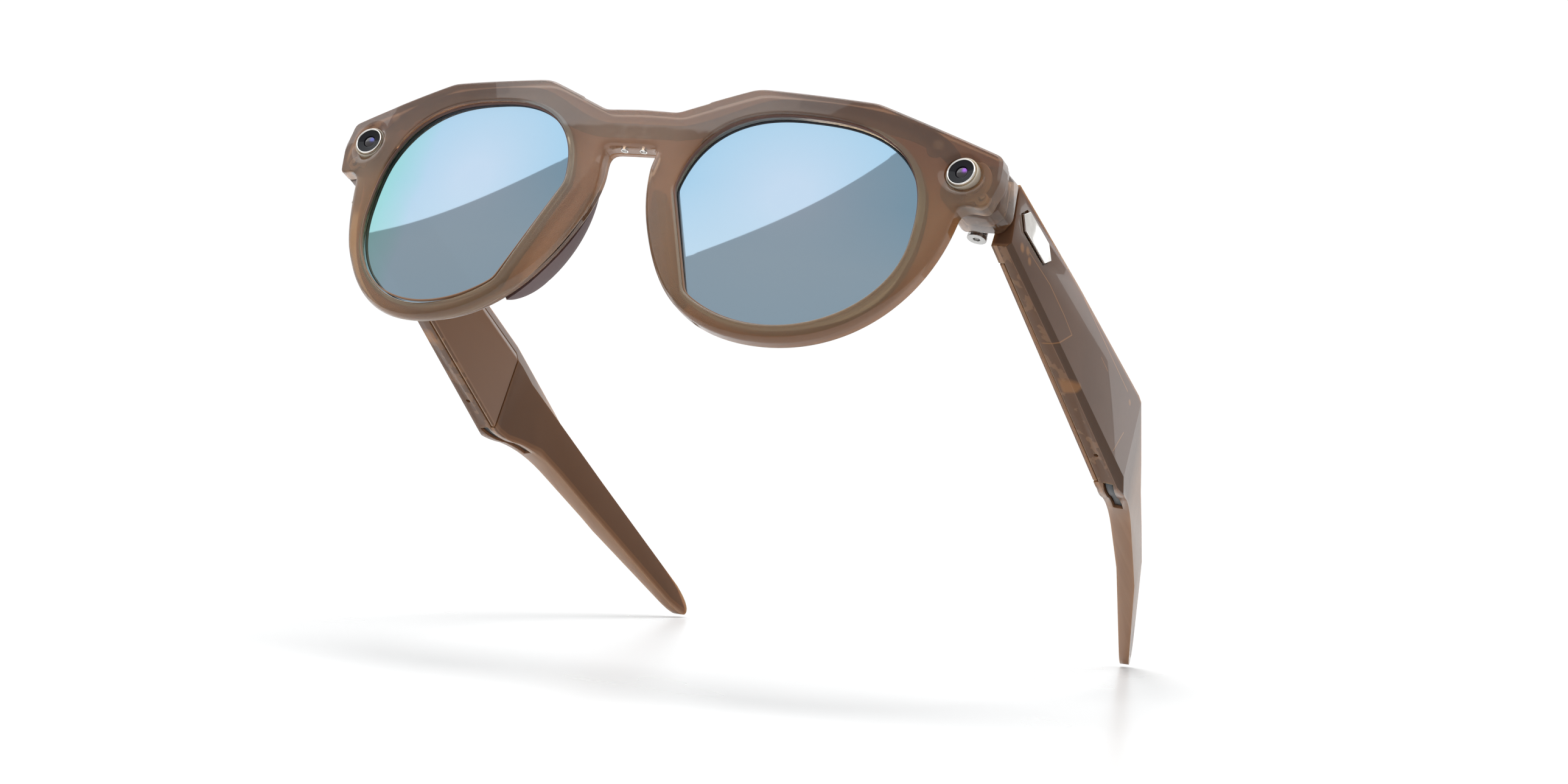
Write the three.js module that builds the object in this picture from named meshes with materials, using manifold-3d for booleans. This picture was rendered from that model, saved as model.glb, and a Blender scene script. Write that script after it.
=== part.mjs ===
// Smart glasses with round mirrored lenses, a camera and an indicator light in the end pieces,
// and two folding temples that hold the electronics.
// Millimetres. +X is the wearer's left, the front faces -Y, the temples run back along +Y, +Z is up.
// The glasses stand on the two rims and the two temple tips, with the origin below their middle.
// Every side piece is drawn once for the wearer's left and mirrored for the right.
import * as THREE from 'three';
import { mergeVertices } from 'three/addons/utils/BufferGeometryUtils.js';
import Module from 'manifold-3d';

const wasm = await Module();
wasm.setup();

// ---- Driving dimensions -----------------------------------------------------------------------
const GAP = 0.3; // between touching pieces
const FAR = 200; // reach of a cutting block
const THROUGH = [-5, 40]; // from before the front to behind the end pieces

const FACE_BEND = 0.00214; // the front falls back by this times x squared
const FRONT_THICK = 3.4;
const REAR_THICK = 1.2;
const REAR_START = FRONT_THICK + GAP;
const REAR_TRIM = 0.6; // the rear shell is this much smaller around the rims

const BROW_TOP = 6.2;
const CORNER_X = 72.1; // brow corner
const RIM_BOTTOM = -45.4;

const LENS_X = 36.1; // middle of the lens opening
const LENS_Z = -20.3;
const LENS_HALF_WIDE = 24.2;
const LENS_HALF_HIGH = 22.2;
const LENS_START = 1.6; // behind the front face
const LENS_THICK = 1.6;
const LENS_GROOVE = 0.9; // how far the lens reaches under the lip
const NASAL_CUT_TOP = new THREE.Vector2(11.2, -14.3); // straight nasal edge of the opening
const NASAL_CUT_LOW = new THREE.Vector2(21.6, -39.2);

const BLOCK_IN = 61.6; // end piece, inner face
const BLOCK_TOP = -0.3;
const BLOCK_LOW = -11.2;
const BLOCK_BACK = 20.3;
const BLOCK_WALL = 1.0;

const MODULE_X = 66; // camera and indicator light
const MODULE_Z = -5.1;
const MODULE_FRONT = 8.5;
const SCREW_R = 0.55; // screw that holds a module

const HINGE_X = 65.8;
const HINGE_Y = 22.5;
const HINGE_R = 1.8;
const PIN_R = 0.85;
const KNUCKLE_LOW = [-10.8, -9.1];
const KNUCKLE_MID = [-8.8, -3.7];
const KNUCKLE_TOP = [-3.4, -1.1];

const TEMPLE_FRONT = 20.9;
const TEMPLE_KINK = 91.5; // where the arm turns inward
const TEMPLE_WALL = 0.9;
const TEMPLE_IN = 70; // inner face
const OUTER_TOP_X = 72.3; // outer face at the front top corner
const OUTER_LEAN = 0.14; // the outer face leans out downward
const COVER_END = 89;

const STANCE_TILT = THREE.MathUtils.degToRad(-2.552); // rims and temple tips on one plane
const STANCE_BACK = -78.33; // moves the turned model to its origin
const STANCE_UP = 45.698;

// ---- Materials ----------------------------------------------------------------------------------
const finish = (color, roughness, metalness = 0) =>
  new THREE.MeshStandardMaterial({ color, roughness, metalness });
const FRAME_PLASTIC = finish(0x6e5647, 0.32);
const REAR_PLASTIC = finish(0x86695a, 0.35);
const PAD_RUBBER = finish(0x54423f, 0.6);
const MIRROR_BLUE = finish(0x8fb6dc, 0.05, 0.8);
const CHROME = finish(0xd0cdc8, 0.15, 1);
const STEEL = finish(0xa5a5a5, 0.35, 1);
const DARK_GLASS = finish(0x08080c, 0.05);
const BLACK_PLASTIC = finish(0x141414, 0.5);
const PALE_PLASTIC = finish(0xc6b6a6, 0.5);
const FLEX_AMBER = finish(0xa0622c, 0.4);
const BOARD_GREEN = finish(0x1d3a2c, 0.5);
const CELL_GREY = finish(0x4b4b4e, 0.45, 0.4);
const GRILLE_METAL = finish(0x2c3234, 0.5, 0.7);

// ---- Solids -------------------------------------------------------------------------------------
function solidOf(geometry) {
  const bare = new THREE.BufferGeometry();
  bare.setAttribute('position', geometry.getAttribute('position'));
  bare.setIndex(geometry.getIndex());
  const merged = mergeVertices(bare, 1e-4);
  return new wasm.Manifold(new wasm.Mesh({
    numProp: 3,
    vertProperties: new Float32Array(merged.getAttribute('position').array),
    triVerts: new Uint32Array(merged.getIndex().array),
  }));
}

function geometryOf(solid) {
  const mesh = solid.getMesh();
  const geometry = new THREE.BufferGeometry();
  geometry.setAttribute('position', new THREE.BufferAttribute(mesh.vertProperties, 3));
  geometry.setIndex(new THREE.BufferAttribute(mesh.triVerts, 1));
  geometry.computeVertexNormals();
  return geometry;
}

const joined = (...solids) => solids.reduce((whole, piece) => whole.add(piece));
const cut = (solid, ...tools) => tools.reduce((rest, tool) => rest.subtract(tool), solid);
const common = (...solids) => solids.reduce((rest, solid) => rest.intersect(solid));

function extruded(shape, depth, curveSegments = 8) {
  return new THREE.ExtrudeGeometry(shape, { depth, bevelEnabled: false, curveSegments, steps: 1 });
}

// A shape drawn in X and Z, extruded along Y.
function prismY(shape, from, to, curveSegments) {
  const geometry = extruded(shape, to - from, curveSegments);
  return solidOf(geometry.rotateX(Math.PI / 2).translate(0, to, 0));
}

// A shape drawn in Y and Z, extruded along X.
function prismX(shape, from, to, curveSegments) {
  const turn = new THREE.Matrix4().makeBasis(
    new THREE.Vector3(0, 1, 0), new THREE.Vector3(0, 0, 1), new THREE.Vector3(1, 0, 0));
  const geometry = extruded(shape, to - from, curveSegments).applyMatrix4(turn);
  return solidOf(geometry.translate(from, 0, 0));
}

// A shape drawn in X and Y, extruded along Z.
function prismZ(shape, from, to, curveSegments) {
  return solidOf(extruded(shape, to - from, curveSegments).translate(0, 0, from));
}

function polygon(points) {
  return new THREE.Shape(points.map(([across, up]) => new THREE.Vector2(across, up)));
}

function box([x0, x1], [y0, y1], [z0, z1]) {
  const geometry = new THREE.BoxGeometry(x1 - x0, y1 - y0, z1 - z0);
  return solidOf(geometry.translate((x0 + x1) / 2, (y0 + y1) / 2, (z0 + z1) / 2));
}

// Everything on the side of the point that the normal points to, moved back by the inset.
function halfSpace(point, normal, inset = 0) {
  const geometry = new THREE.BoxGeometry(2 * FAR, 2 * FAR, 2 * FAR).translate(0, 0, FAR - inset);
  const turn = new THREE.Quaternion().setFromUnitVectors(
    new THREE.Vector3(0, 0, 1), new THREE.Vector3(...normal).normalize());
  return solidOf(geometry.applyQuaternion(turn).translate(...point));
}

// A cylinder or tube along Y around the middle of the camera or light module.
function moduleRound(outerR, from, to, innerR = 0, segments = 24) {
  const profile = innerR > 0
    ? [[innerR, from], [outerR, from], [outerR, to], [innerR, to], [innerR, from]]
    : [[0, from], [outerR, from], [outerR, to], [0, to]];
  const geometry = new THREE.LatheGeometry(
    profile.map(([radius, along]) => new THREE.Vector2(radius, along)), segments);
  return solidOf(geometry.translate(MODULE_X, 0, MODULE_Z));
}

// A cylinder or tube along Z.
function upright(x, y, radius, [low, high], innerR = 0, segments = 20) {
  const profile = innerR > 0
    ? [[innerR, low], [radius, low], [radius, high], [innerR, high], [innerR, low]]
    : [[0, low], [radius, low], [radius, high], [0, high]];
  const geometry = new THREE.LatheGeometry(
    profile.map(([across, up]) => new THREE.Vector2(across, up)), segments);
  return solidOf(geometry.rotateX(Math.PI / 2).translate(x, y, 0));
}

// ---- Scene graph --------------------------------------------------------------------------------
const stance = new THREE.Group();
stance.rotation.x = STANCE_TILT;
stance.position.set(0, STANCE_BACK, STANCE_UP);

function place(name, geometry, material) {
  const mesh = new THREE.Mesh(geometry, material);
  mesh.name = name;
  stance.add(mesh);
}

function mirrored(geometry) {
  const flipped = geometry.clone().scale(-1, 1, 1);
  const index = flipped.getIndex();
  for (let corner = 0; corner < index.count; corner += 3) {
    const second = index.getX(corner + 1);
    index.setX(corner + 1, index.getX(corner + 2));
    index.setX(corner + 2, second);
  }
  return flipped;
}

function placeOne(name, solid, material) {
  place(name, geometryOf(solid), material);
}

function placeRight(name, solid, material) {
  place(name, mirrored(geometryOf(solid)), material);
}

function placePair(name, solid, material) {
  placeOne(`${name}_left`, solid, material);
  placeRight(`${name}_right`, solid, material);
}

// ---- Front: outline, lens openings, curved layers -----------------------------------------------
// The trim draws in the outer and lower side of the rims.
function frontOutline(trim = 0) {
  const bottom = RIM_BOTTOM + trim / 2;
  const half = new THREE.Path();
  half.moveTo(0, 0);
  half.lineTo(8, -0.2);
  half.lineTo(22, 5.7);
  half.quadraticCurveTo(23.2, BROW_TOP, 25.5, BROW_TOP);
  half.lineTo(47, BROW_TOP);
  half.lineTo(CORNER_X, BLOCK_TOP);
  half.lineTo(72.8, -5.5);
  half.lineTo(71.6, BLOCK_LOW);
  half.lineTo(69, BLOCK_LOW);
  half.quadraticCurveTo(66.6 - trim, -11.4, 66.3 - trim, -13.5);
  half.bezierCurveTo(64.9 - trim, -31, 54 - trim, bottom, LENS_X, bottom);
  half.bezierCurveTo(22, bottom, 14.5, -36.5, 9.9, -28);
  half.bezierCurveTo(7.4, -23.2, 5.5, -18.5, 5.6, -13.5);
  half.bezierCurveTo(5.8, -11.8, 7.3, -8, 4, -8);
  half.lineTo(0, -8);
  const right = half.getPoints(9);
  const left = right.slice(1, -1).reverse().map((point) => new THREE.Vector2(-point.x, point.y));
  return new THREE.Shape([...right, ...left]);
}

// A squarer upper half, a rounder lower half, and a straight nasal edge; grown by a margin.
function lensPrism(grow) {
  const steps = 44;
  const rim = [];
  for (let step = 0; step < steps; step += 1) {
    const angle = (2 * Math.PI * step) / steps;
    const power = 2 / (Math.sin(angle) >= 0 ? 2.6 : 2.0);
    const across = Math.sign(Math.cos(angle)) * Math.abs(Math.cos(angle)) ** power;
    const up = Math.sign(Math.sin(angle)) * Math.abs(Math.sin(angle)) ** power;
    rim.push([
      LENS_X + (LENS_HALF_WIDE + grow) * across,
      LENS_Z + (LENS_HALF_HIGH + grow) * up,
    ]);
  }
  const along = NASAL_CUT_LOW.clone().sub(NASAL_CUT_TOP);
  const towardNose = [along.y, 0, -along.x];
  const edge = NASAL_CUT_TOP.clone().add(
    new THREE.Vector2(along.y, -along.x).normalize().multiplyScalar(grow));
  return cut(prismY(polygon(rim), ...THROUGH), halfSpace([edge.x, 0, edge.y], towardNose));
}

// A layer that follows the bend of the front, between two depths behind its face.
function curvedLayer(from, to) {
  const reach = 75;
  const steps = 24;
  const face = [];
  for (let step = 0; step <= steps; step += 1) {
    const x = -reach + (2 * reach * step) / steps;
    face.push([x, FACE_BEND * x * x]);
  }
  const nearSide = face.map(([x, y]) => [x, y + from]);
  const farSide = face.map(([x, y]) => [x, y + to]).reverse();
  return prismZ(polygon([...nearSide, ...farSide]), -60, 20);
}

const bothSides = (solid) => joined(solid, solidOf(mirrored(geometryOf(solid))));

const outerPlanePoint = [OUTER_TOP_X, 21, -0.6];
const outerNormal = [1, -0.0027, OUTER_LEAN];

// ---- End piece: a hollow block behind each front corner -----------------------------------------
const BLOCK_FRONT = 10.9;

function blockSection(inset) {
  return polygon([
    [BLOCK_IN + inset, BLOCK_TOP - inset],
    [76, BLOCK_TOP - inset],
    [76, BLOCK_LOW + 1.6],
    [72.6 - inset, BLOCK_LOW + inset],
    [BLOCK_IN + 2 + inset, BLOCK_LOW + inset],
    [BLOCK_IN + inset, BLOCK_LOW + 2 + inset],
  ]);
}

const outerOf = (inset) => halfSpace(outerPlanePoint, outerNormal, inset);
const blockFlank = (inset) => halfSpace([71.7, 11, -0.6], [1, -0.07, 0.12], inset);

function endBlock() {
  return cut(prismY(blockSection(0), BLOCK_FRONT, BLOCK_BACK), outerOf(0), blockFlank(0));
}

function endCavity() {
  const screwBoss = cut(moduleTabScrew(1.3, 11, 13), moduleTabScrew(SCREW_R + GAP, 12, 14));
  const room = prismY(blockSection(BLOCK_WALL), BLOCK_FRONT + BLOCK_WALL, BLOCK_BACK - 1.2);
  const hollow = cut(room, outerOf(1.3), blockFlank(1.2), screwBoss);
  const doorway = box([BLOCK_IN - 1, BLOCK_IN + 2], [13.2, BLOCK_BACK - 1.4], [-8.6, -1.6]);
  const knuckleSlots = [KNUCKLE_LOW, KNUCKLE_TOP].map(([low, high]) =>
    box([HINGE_X - 1.3, HINGE_X + 1.3], [BLOCK_BACK - 2, BLOCK_BACK + 1],
      [Math.max(low - GAP, BLOCK_LOW + BLOCK_WALL), high + GAP]));
  return joined(hollow, doorway, ...knuckleSlots);
}

// The channel in the back of the front shell that the flexible circuit lies in.
function flexRoute(margin, from, to) {
  const route = new THREE.CatmullRomCurve3([
    new THREE.Vector3(64, 0, -2.6), new THREE.Vector3(57, 0, 1.6), new THREE.Vector3(47, 0, 4.4),
    new THREE.Vector3(25, 0, 4.4), new THREE.Vector3(18, 0, 1.2), new THREE.Vector3(9, 0, -3),
    new THREE.Vector3(0, 0, -3),
  ]);
  const points = route.getSpacedPoints(18);
  const half = 0.6 + margin;
  const above = points.map((point) => [point.x, point.z + half]);
  const below = points.map((point) => [point.x, point.z - half]).reverse();
  const strip = prismY(polygon([...above, ...below]), ...THROUGH);
  return common(bothSides(strip), curvedLayer(from, to));
}

const frontPrism = prismY(frontOutline(), ...THROUGH);
const moduleWell = joined(moduleRound(3.4, -5, 9.6), moduleRound(2.95, 9, 13));

function frontShell() {
  const plate = cut(common(frontPrism, curvedLayer(0, FRONT_THICK)),
    bothSides(lensPrism(0)),
    common(bothSides(lensPrism(LENS_GROOVE + GAP)), curvedLayer(LENS_START - GAP, 9)));
  const blocks = bothSides(endBlock());
  const holes = bothSides(joined(endCavity(), moduleWell));
  const contacts = bothSides(upright(2.1, 2.2, 0.95, [-9, -6]));
  return cut(joined(plate, blocks), holes, contacts, flexRoute(0.35, FRONT_THICK - 0.7, 9));
}

function rearShell() {
  const reach = box([-60, 60], THROUGH, [-60, 20]);
  const lowReach = box([-75, 75], THROUGH, [-60, BLOCK_LOW - GAP]);
  const layer = common(prismY(frontOutline(REAR_TRIM), ...THROUGH),
    curvedLayer(REAR_START, REAR_START + REAR_THICK));
  return cut(common(layer, joined(reach, lowReach)), bothSides(lensPrism(-0.2)));
}

function lens() {
  const start = LENS_START;
  return common(lensPrism(LENS_GROOVE), curvedLayer(start, start + LENS_THICK));
}

// A crescent on the nasal edge of the rear shell that splays out toward the back.
function nosePad() {
  const face = new THREE.Shape();
  face.moveTo(6.2, -15.5);
  face.bezierCurveTo(6.2, -22, 9.5, -28.5, 13.6, -34);
  face.quadraticCurveTo(16, -37.6, 19.5, -40.2);
  face.lineTo(20.4, -38.6);
  face.bezierCurveTo(16.6, -35.5, 11.8, -27, 8.9, -16.2);
  face.closePath();
  const splay = new THREE.Matrix4().makeShear(0, 0, 0.32, 0, 0, 0);
  const start = REAR_START + REAR_THICK + GAP;
  const blank = prismY(face, 0, 20, 7);
  const leaned = solidOf(geometryOf(blank).applyMatrix4(splay).translate(-0.32 * start, 0, 0));
  const side = new THREE.Shape();
  side.moveTo(start, -15.6);
  side.bezierCurveTo(8.2, -19.6, 10.9, -23, 10.9, -27.6);
  side.bezierCurveTo(10.9, -32.4, 8.6, -36.4, start + 0.4, -40);
  side.closePath();
  return common(leaned, prismX(side, 0, 30, 7), curvedLayer(start, 20));
}

// ---- Camera and indicator light modules ---------------------------------------------------------
function moduleBezel() {
  const profile = [[2.3, MODULE_FRONT], [2.6, MODULE_FRONT - 0.2], [2.85, MODULE_FRONT],
    [2.85, 9.3], [2.6, 9.3], [2.6, 10.4], [2.3, 10.4], [2.3, MODULE_FRONT]];
  const geometry = new THREE.LatheGeometry(
    profile.map(([radius, along]) => new THREE.Vector2(radius, along)), 24);
  return solidOf(geometry.translate(MODULE_X, 0, MODULE_Z));
}

function moduleHolder() {
  const ring = moduleRound(3.6, 13.3, 14.3, 2.5);
  const tab = box([MODULE_X + 2.4, MODULE_X + 4.9], [13.3, 14.3], [MODULE_Z - 4.2, MODULE_Z - 1.6]);
  return cut(joined(ring, cut(tab, moduleRound(3.2, 12, 15))),
    moduleTabScrew(SCREW_R + GAP, 12, 15));
}

function moduleTabScrew(radius, from, to) {
  const geometry = new THREE.CylinderGeometry(radius, radius, to - from, 10);
  return solidOf(geometry.translate(MODULE_X + 3.9, (from + to) / 2, MODULE_Z - 3.2));
}

function placeModule(name, place) {
  place(`${name}_bezel`, moduleBezel(), CHROME);
  place(`${name}_cover_glass`, moduleRound(2.0, 9.0, 9.6), DARK_GLASS);
  place(`${name}_barrel`, moduleRound(2.0, 9.9, 14.6), BLACK_PLASTIC);
  place(`${name}_holder`, moduleHolder(), PALE_PLASTIC);
  place(`${name}_board`, box([MODULE_X - 3, MODULE_X + 2.5], [14.9, 15.7],
    [MODULE_Z - 3.2, MODULE_Z + 3]), BOARD_GREEN);
  place(`${name}_screw`, joined(moduleTabScrew(SCREW_R, 12.4, 14.8), moduleTabScrew(0.95, 14.6, 15.2)),
    STEEL);
}

// ---- Hinge --------------------------------------------------------------------------------------
const knuckle = (span) => upright(HINGE_X, HINGE_Y, HINGE_R, span, PIN_R + GAP);

function frontLeaf() {
  const [low, high] = [BLOCK_LOW + BLOCK_WALL + GAP, BLOCK_TOP - BLOCK_WALL - GAP];
  const tongues = [[low, KNUCKLE_LOW[1]], [KNUCKLE_TOP[0], high]].map((span) => cut(
    box([HINGE_X - 1, HINGE_X + 1], [17.1, HINGE_Y], span),
    upright(HINGE_X, HINGE_Y, PIN_R + GAP, [low - 1, high + 1])));
  const anchor = box([HINGE_X - 0.9, HINGE_X + 3.4], [17.1, 18.3], [low, high]);
  return joined(knuckle(KNUCKLE_LOW), knuckle(KNUCKLE_TOP), anchor, ...tongues);
}

function templeLeaf() {
  const [low, high] = [KNUCKLE_MID[0] + 0.3, KNUCKLE_MID[1] - 0.3];
  const arm = cut(box([HINGE_X, TEMPLE_IN + 1.45], [HINGE_Y - 0.9, HINGE_Y + 0.9], [low, high]),
    upright(HINGE_X, HINGE_Y, PIN_R + GAP, [low - 1, high + 1]));
  const anchor = box([TEMPLE_IN + 1.2, TEMPLE_IN + 1.7], [HINGE_Y - 0.6, 33], [low + 0.4, high - 0.6]);
  return joined(knuckle(KNUCKLE_MID), arm, anchor);
}

function hingeScrew() {
  const shaft = upright(HINGE_X, HINGE_Y, PIN_R, [-11.4, -1.3]);
  const head = upright(HINGE_X, HINGE_Y, HINGE_R + 0.1, [-11.9, -11.1]);
  const socket = upright(HINGE_X, HINGE_Y, 0.75, [-12.5, -11.4], 0, 6);
  return cut(joined(shaft, head), socket);
}

// ---- Temple -------------------------------------------------------------------------------------
function templeProfile() {
  const side = new THREE.Shape();
  side.moveTo(TEMPLE_FRONT, -0.6);
  side.lineTo(55, -3.7);
  side.lineTo(TEMPLE_KINK, -8);
  side.lineTo(116, -18);
  side.lineTo(142, -28);
  side.lineTo(155, -33.6);
  side.quadraticCurveTo(160.6, -36.2, 159.4, -38.2);
  side.quadraticCurveTo(158.6, -39.2, 154, -38.2);
  side.lineTo(126, -31.4);
  side.lineTo(113, -28.6);
  side.quadraticCurveTo(104.5, -26.6, 98, -28);
  side.quadraticCurveTo(94, -29.4, 90.5, -29);
  side.lineTo(56, -21.2);
  side.lineTo(TEMPLE_FRONT, -13.8);
  side.closePath();
  return side;
}

const REAR_ARM = { outerX: 75.6, outerSlope: -0.275, innerSlope: -0.215, breakY: 125 };
const INNER_BREAK_X = TEMPLE_IN + REAR_ARM.innerSlope * (REAR_ARM.breakY - TEMPLE_KINK);

// Material beyond the outer faces of the temple, each face moved in by the inset.
function outsideTemple(inset) {
  return joined(
    outerOf(inset),
    halfSpace([REAR_ARM.outerX, TEMPLE_KINK, -28], [1, -REAR_ARM.outerSlope, 0.08], inset),
    halfSpace([61.9, 140, -32], [1, 0.35, 0.04], inset));
}

// Material inboard of the inner faces of the temple, each face moved out by the inset.
function insideTemple(inset) {
  return common(
    halfSpace([TEMPLE_IN + inset, TEMPLE_KINK, -20], [-1, 0, 0]),
    halfSpace([TEMPLE_IN + inset, TEMPLE_KINK, -20], [-1, REAR_ARM.innerSlope, 0]),
    halfSpace([INNER_BREAK_X + inset, REAR_ARM.breakY, -30], [-1, -0.274, 0]));
}

// The two faces that slope from the top edge down to the inner face.
function aboveTopBevel(inset) {
  return common(
    halfSpace([72, TEMPLE_FRONT, -0.6], [-1.6, 0.125, 1], inset),
    halfSpace([61.6, 128.8, -24.8], [-0.64, 0.163, 1], inset));
}

function templeBody() {
  const lowBevel = halfSpace([74.3, 21, -12.6], [1, -0.221, -0.9]);
  return cut(prismX(templeProfile(), 45, 82), outsideTemple(0), insideTemple(0), lowBevel,
    aboveTopBevel(0));
}

function templeCavity() {
  const side = polygon([
    [22.2, -3], [55, -6.2], [89, -10.4], [101, -15.5], [102.2, -25.5], [92, -27.3], [56, -19.9],
    [22.2, -12.3],
  ]);
  return cut(prismX(side, 60, 82), outsideTemple(TEMPLE_WALL), aboveTopBevel(TEMPLE_WALL),
    insideTemple(TEMPLE_WALL + GAP - 0.01));
}

const coverReach = box([60, TEMPLE_IN + TEMPLE_WALL], [26, COVER_END], [-40, 10]);
const coverRoom = box([60, TEMPLE_IN + TEMPLE_WALL + GAP], [26 - GAP, COVER_END + GAP], [-40, 10]);

const SLOT_START = new THREE.Vector2(73, 89.8);
const SLOT_END = new THREE.Vector2(69.9, 103.4);

// The speaker slot in plan, widened by a margin.
function slotPlan(margin) {
  const along = SLOT_END.clone().sub(SLOT_START).normalize();
  const side = new THREE.Vector2(-along.y, along.x).multiplyScalar(0.75 + margin);
  const start = SLOT_START.clone().addScaledVector(along, -margin);
  const end = SLOT_END.clone().addScaledVector(along, margin);
  return polygon([
    [start.x + side.x, start.y + side.y], [start.x - side.x, start.y - side.y],
    [end.x - side.x, end.y - side.y], [end.x + side.x, end.y + side.y],
  ]);
}

function speakerGrille() {
  const dropped = geometryOf(prismX(templeProfile(), 45, 82));
  const upper = solidOf(dropped.clone().translate(0, 0, 0.5));
  const lower = solidOf(dropped.clone().translate(0, 0, 1.4));
  return common(prismZ(slotPlan(0), -34, -20), cut(upper, lower));
}

const MIC_X = 73.1;
const MIC_Y = 80.9;

function templeShell() {
  const leafSlot = box([60, TEMPLE_IN + 1.95], [HINGE_Y - 1.2, 27],
    [KNUCKLE_MID[0] - GAP, KNUCKLE_MID[1] + GAP]);
  const slot = prismZ(slotPlan(GAP), -34, -24);
  const micHole = upright(MIC_X, MIC_Y, 0.5, [-34, -24], 0, 12);
  return cut(templeBody(), coverRoom, templeCavity(), leafSlot, slot, micHole,
    badgePlate(BADGE_LONG + GAP, BADGE_HIGH + GAP, -0.45, 3));
}

function templeCover() {
  return common(templeBody(), coverReach);
}

// ---- Capture button on the right temple, power slider on the left -------------------------------
const BUTTON_SPAN = [30.3, 39.7];
const BUTTON_FOOT = -3.6;
const BUTTON_PROUD = 0.35;
const BUTTON_TRAVEL = 0.6;

function captureButton() {
  const cap = common(templeBody(), box([60, 80], BUTTON_SPAN, [BUTTON_FOOT, 5]));
  return solidOf(geometryOf(cap).translate(0, 0, BUTTON_PROUD));
}

function buttonNotch() {
  const [start, end] = BUTTON_SPAN;
  const floor = BUTTON_FOOT + BUTTON_PROUD - BUTTON_TRAVEL - GAP;
  return box([60, 80], [start - GAP, end + GAP], [floor, 5]);
}

const SLIDER_Y = 44.4;
const SLIDER_LONG = 3.8;
const SLIDER_TRAVEL = 2;
const SLIDER_Z = [-9.8, -8.2];

function powerSlider() {
  const base = box([TEMPLE_IN - 0.5, TEMPLE_IN + 0.6], [SLIDER_Y, SLIDER_Y + SLIDER_LONG], SLIDER_Z);
  const ribs = [1, 1.9, 2.8].map((along) => box([TEMPLE_IN - 1, TEMPLE_IN - 0.25],
    [SLIDER_Y + along - 0.25, SLIDER_Y + along + 0.25], [SLIDER_Z[0], SLIDER_Z[1]]));
  return cut(base, ...ribs);
}

function sliderSlot() {
  return box([60, TEMPLE_IN + 2], [SLIDER_Y - GAP, SLIDER_Y + SLIDER_LONG + SLIDER_TRAVEL + GAP],
    [SLIDER_Z[0] - GAP, SLIDER_Z[1] + GAP]);
}

// ---- Badge: a plain six-sided plate let into the outer face -------------------------------------
const BADGE_LONG = 7.6;
const BADGE_HIGH = 2.3;

function badgePlate(halfLong, halfHigh, from, to) {
  const point = 2.4;
  const face = polygon([
    [-halfLong, 0], [-halfLong + point, -halfHigh], [halfLong - point, -halfHigh], [halfLong, 0],
    [halfLong - point, halfHigh], [-halfLong + point, halfHigh],
  ]);
  const outward = new THREE.Vector3(...outerNormal).normalize();
  const along = new THREE.Vector3(0, 1, -0.1).normalize();
  const up = new THREE.Vector3().crossVectors(outward, along).normalize();
  const straight = new THREE.Vector3().crossVectors(up, outward);
  const turn = new THREE.Matrix4().makeBasis(straight, up, outward);
  const centre = new THREE.Vector3(OUTER_TOP_X + 0.0027 * 10 + OUTER_LEAN * 5.6, 31, -6.2);
  const geometry = extruded(face, to - from).translate(0, 0, from);
  return solidOf(geometry.applyMatrix4(turn).translate(centre.x, centre.y, centre.z));
}

// ---- Pieces inside the temples ------------------------------------------------------------------
// A block whose ends follow the slope of the temple: length from y0 to y1, dropping as it goes back.
function sloped([x0, x1], [y0, y1], [z0, z1]) {
  const drop = 0.2186 * (y1 - y0);
  const side = polygon([[y0, z0], [y1, z0 - drop], [y1, z1 - drop], [y0, z1]]);
  return prismX(side, x0, x1);
}

const INSIDE_X = TEMPLE_IN + TEMPLE_WALL + 2 * GAP;
const fitted = (solid) => cut(solid, outsideTemple(TEMPLE_WALL + GAP));

function speaker() {
  const plan = polygon([[71.6, 90.5], [73.5, 90.5], [71, 100.5], [69.6, 100.5]]);
  return prismZ(plan, -24.5, -17);
}

function touchStrip() {
  const reach = sloped([TEMPLE_IN, 78], [41, 75], [-9.7, -6.7]);
  return cut(common(reach, outerOf(TEMPLE_WALL + GAP + 0.3)), outerOf(TEMPLE_WALL + GAP));
}

const endCover = () => box([BLOCK_IN, BLOCK_IN + 0.8], [13.5, BLOCK_BACK - 1.7], [-8.3, -1.9]);

// ---- Assembly -----------------------------------------------------------------------------------
placeOne('front_shell', frontShell(), FRAME_PLASTIC);
placeOne('rear_shell', rearShell(), REAR_PLASTIC);
placePair('lens', lens(), MIRROR_BLUE);
placePair('nose_pad', nosePad(), PAD_RUBBER);
placeModule('camera', placeOne);
placeModule('indicator', placeRight);
placeOne('front_flex', flexRoute(0, FRONT_THICK - 0.4, FRONT_THICK - 0.2), FLEX_AMBER);
placePair('bridge_contact', upright(2.1, 2.2, 0.65, [-7.8, -6.3], 0, 12), CHROME);
placePair('end_cover', endCover(), REAR_PLASTIC);
placePair('front_hinge_leaf', frontLeaf(), STEEL);
placePair('hinge_screw', hingeScrew(), STEEL);

placePair('temple_hinge_leaf', templeLeaf(), STEEL);
placeOne('temple_shell_left', templeShell(), FRAME_PLASTIC);
placeRight('temple_shell_right', cut(templeShell(), buttonNotch()), FRAME_PLASTIC);
placeOne('temple_cover_left', cut(templeCover(), sliderSlot()), FRAME_PLASTIC);
placeRight('temple_cover_right', cut(templeCover(), buttonNotch()), FRAME_PLASTIC);
placePair('badge', badgePlate(BADGE_LONG, BADGE_HIGH, -0.15, 0.6), CHROME);
placePair('speaker_grille', speakerGrille(), GRILLE_METAL);
placePair('speaker', speaker(), BLACK_PLASTIC);
placePair('microphone', box([71.8, 74.2], [79.2, 82.6], [-24.2, -23.2]), CHROME);
placePair('battery', fitted(sloped([INSIDE_X, 78], [57.5, 77], [-19.6, -14])), CELL_GREY);
placePair('circuit_board', fitted(sloped([INSIDE_X, INSIDE_X + 0.8], [33.3, 55], [-13.6, -9.9])),
  BOARD_GREEN);
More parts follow.
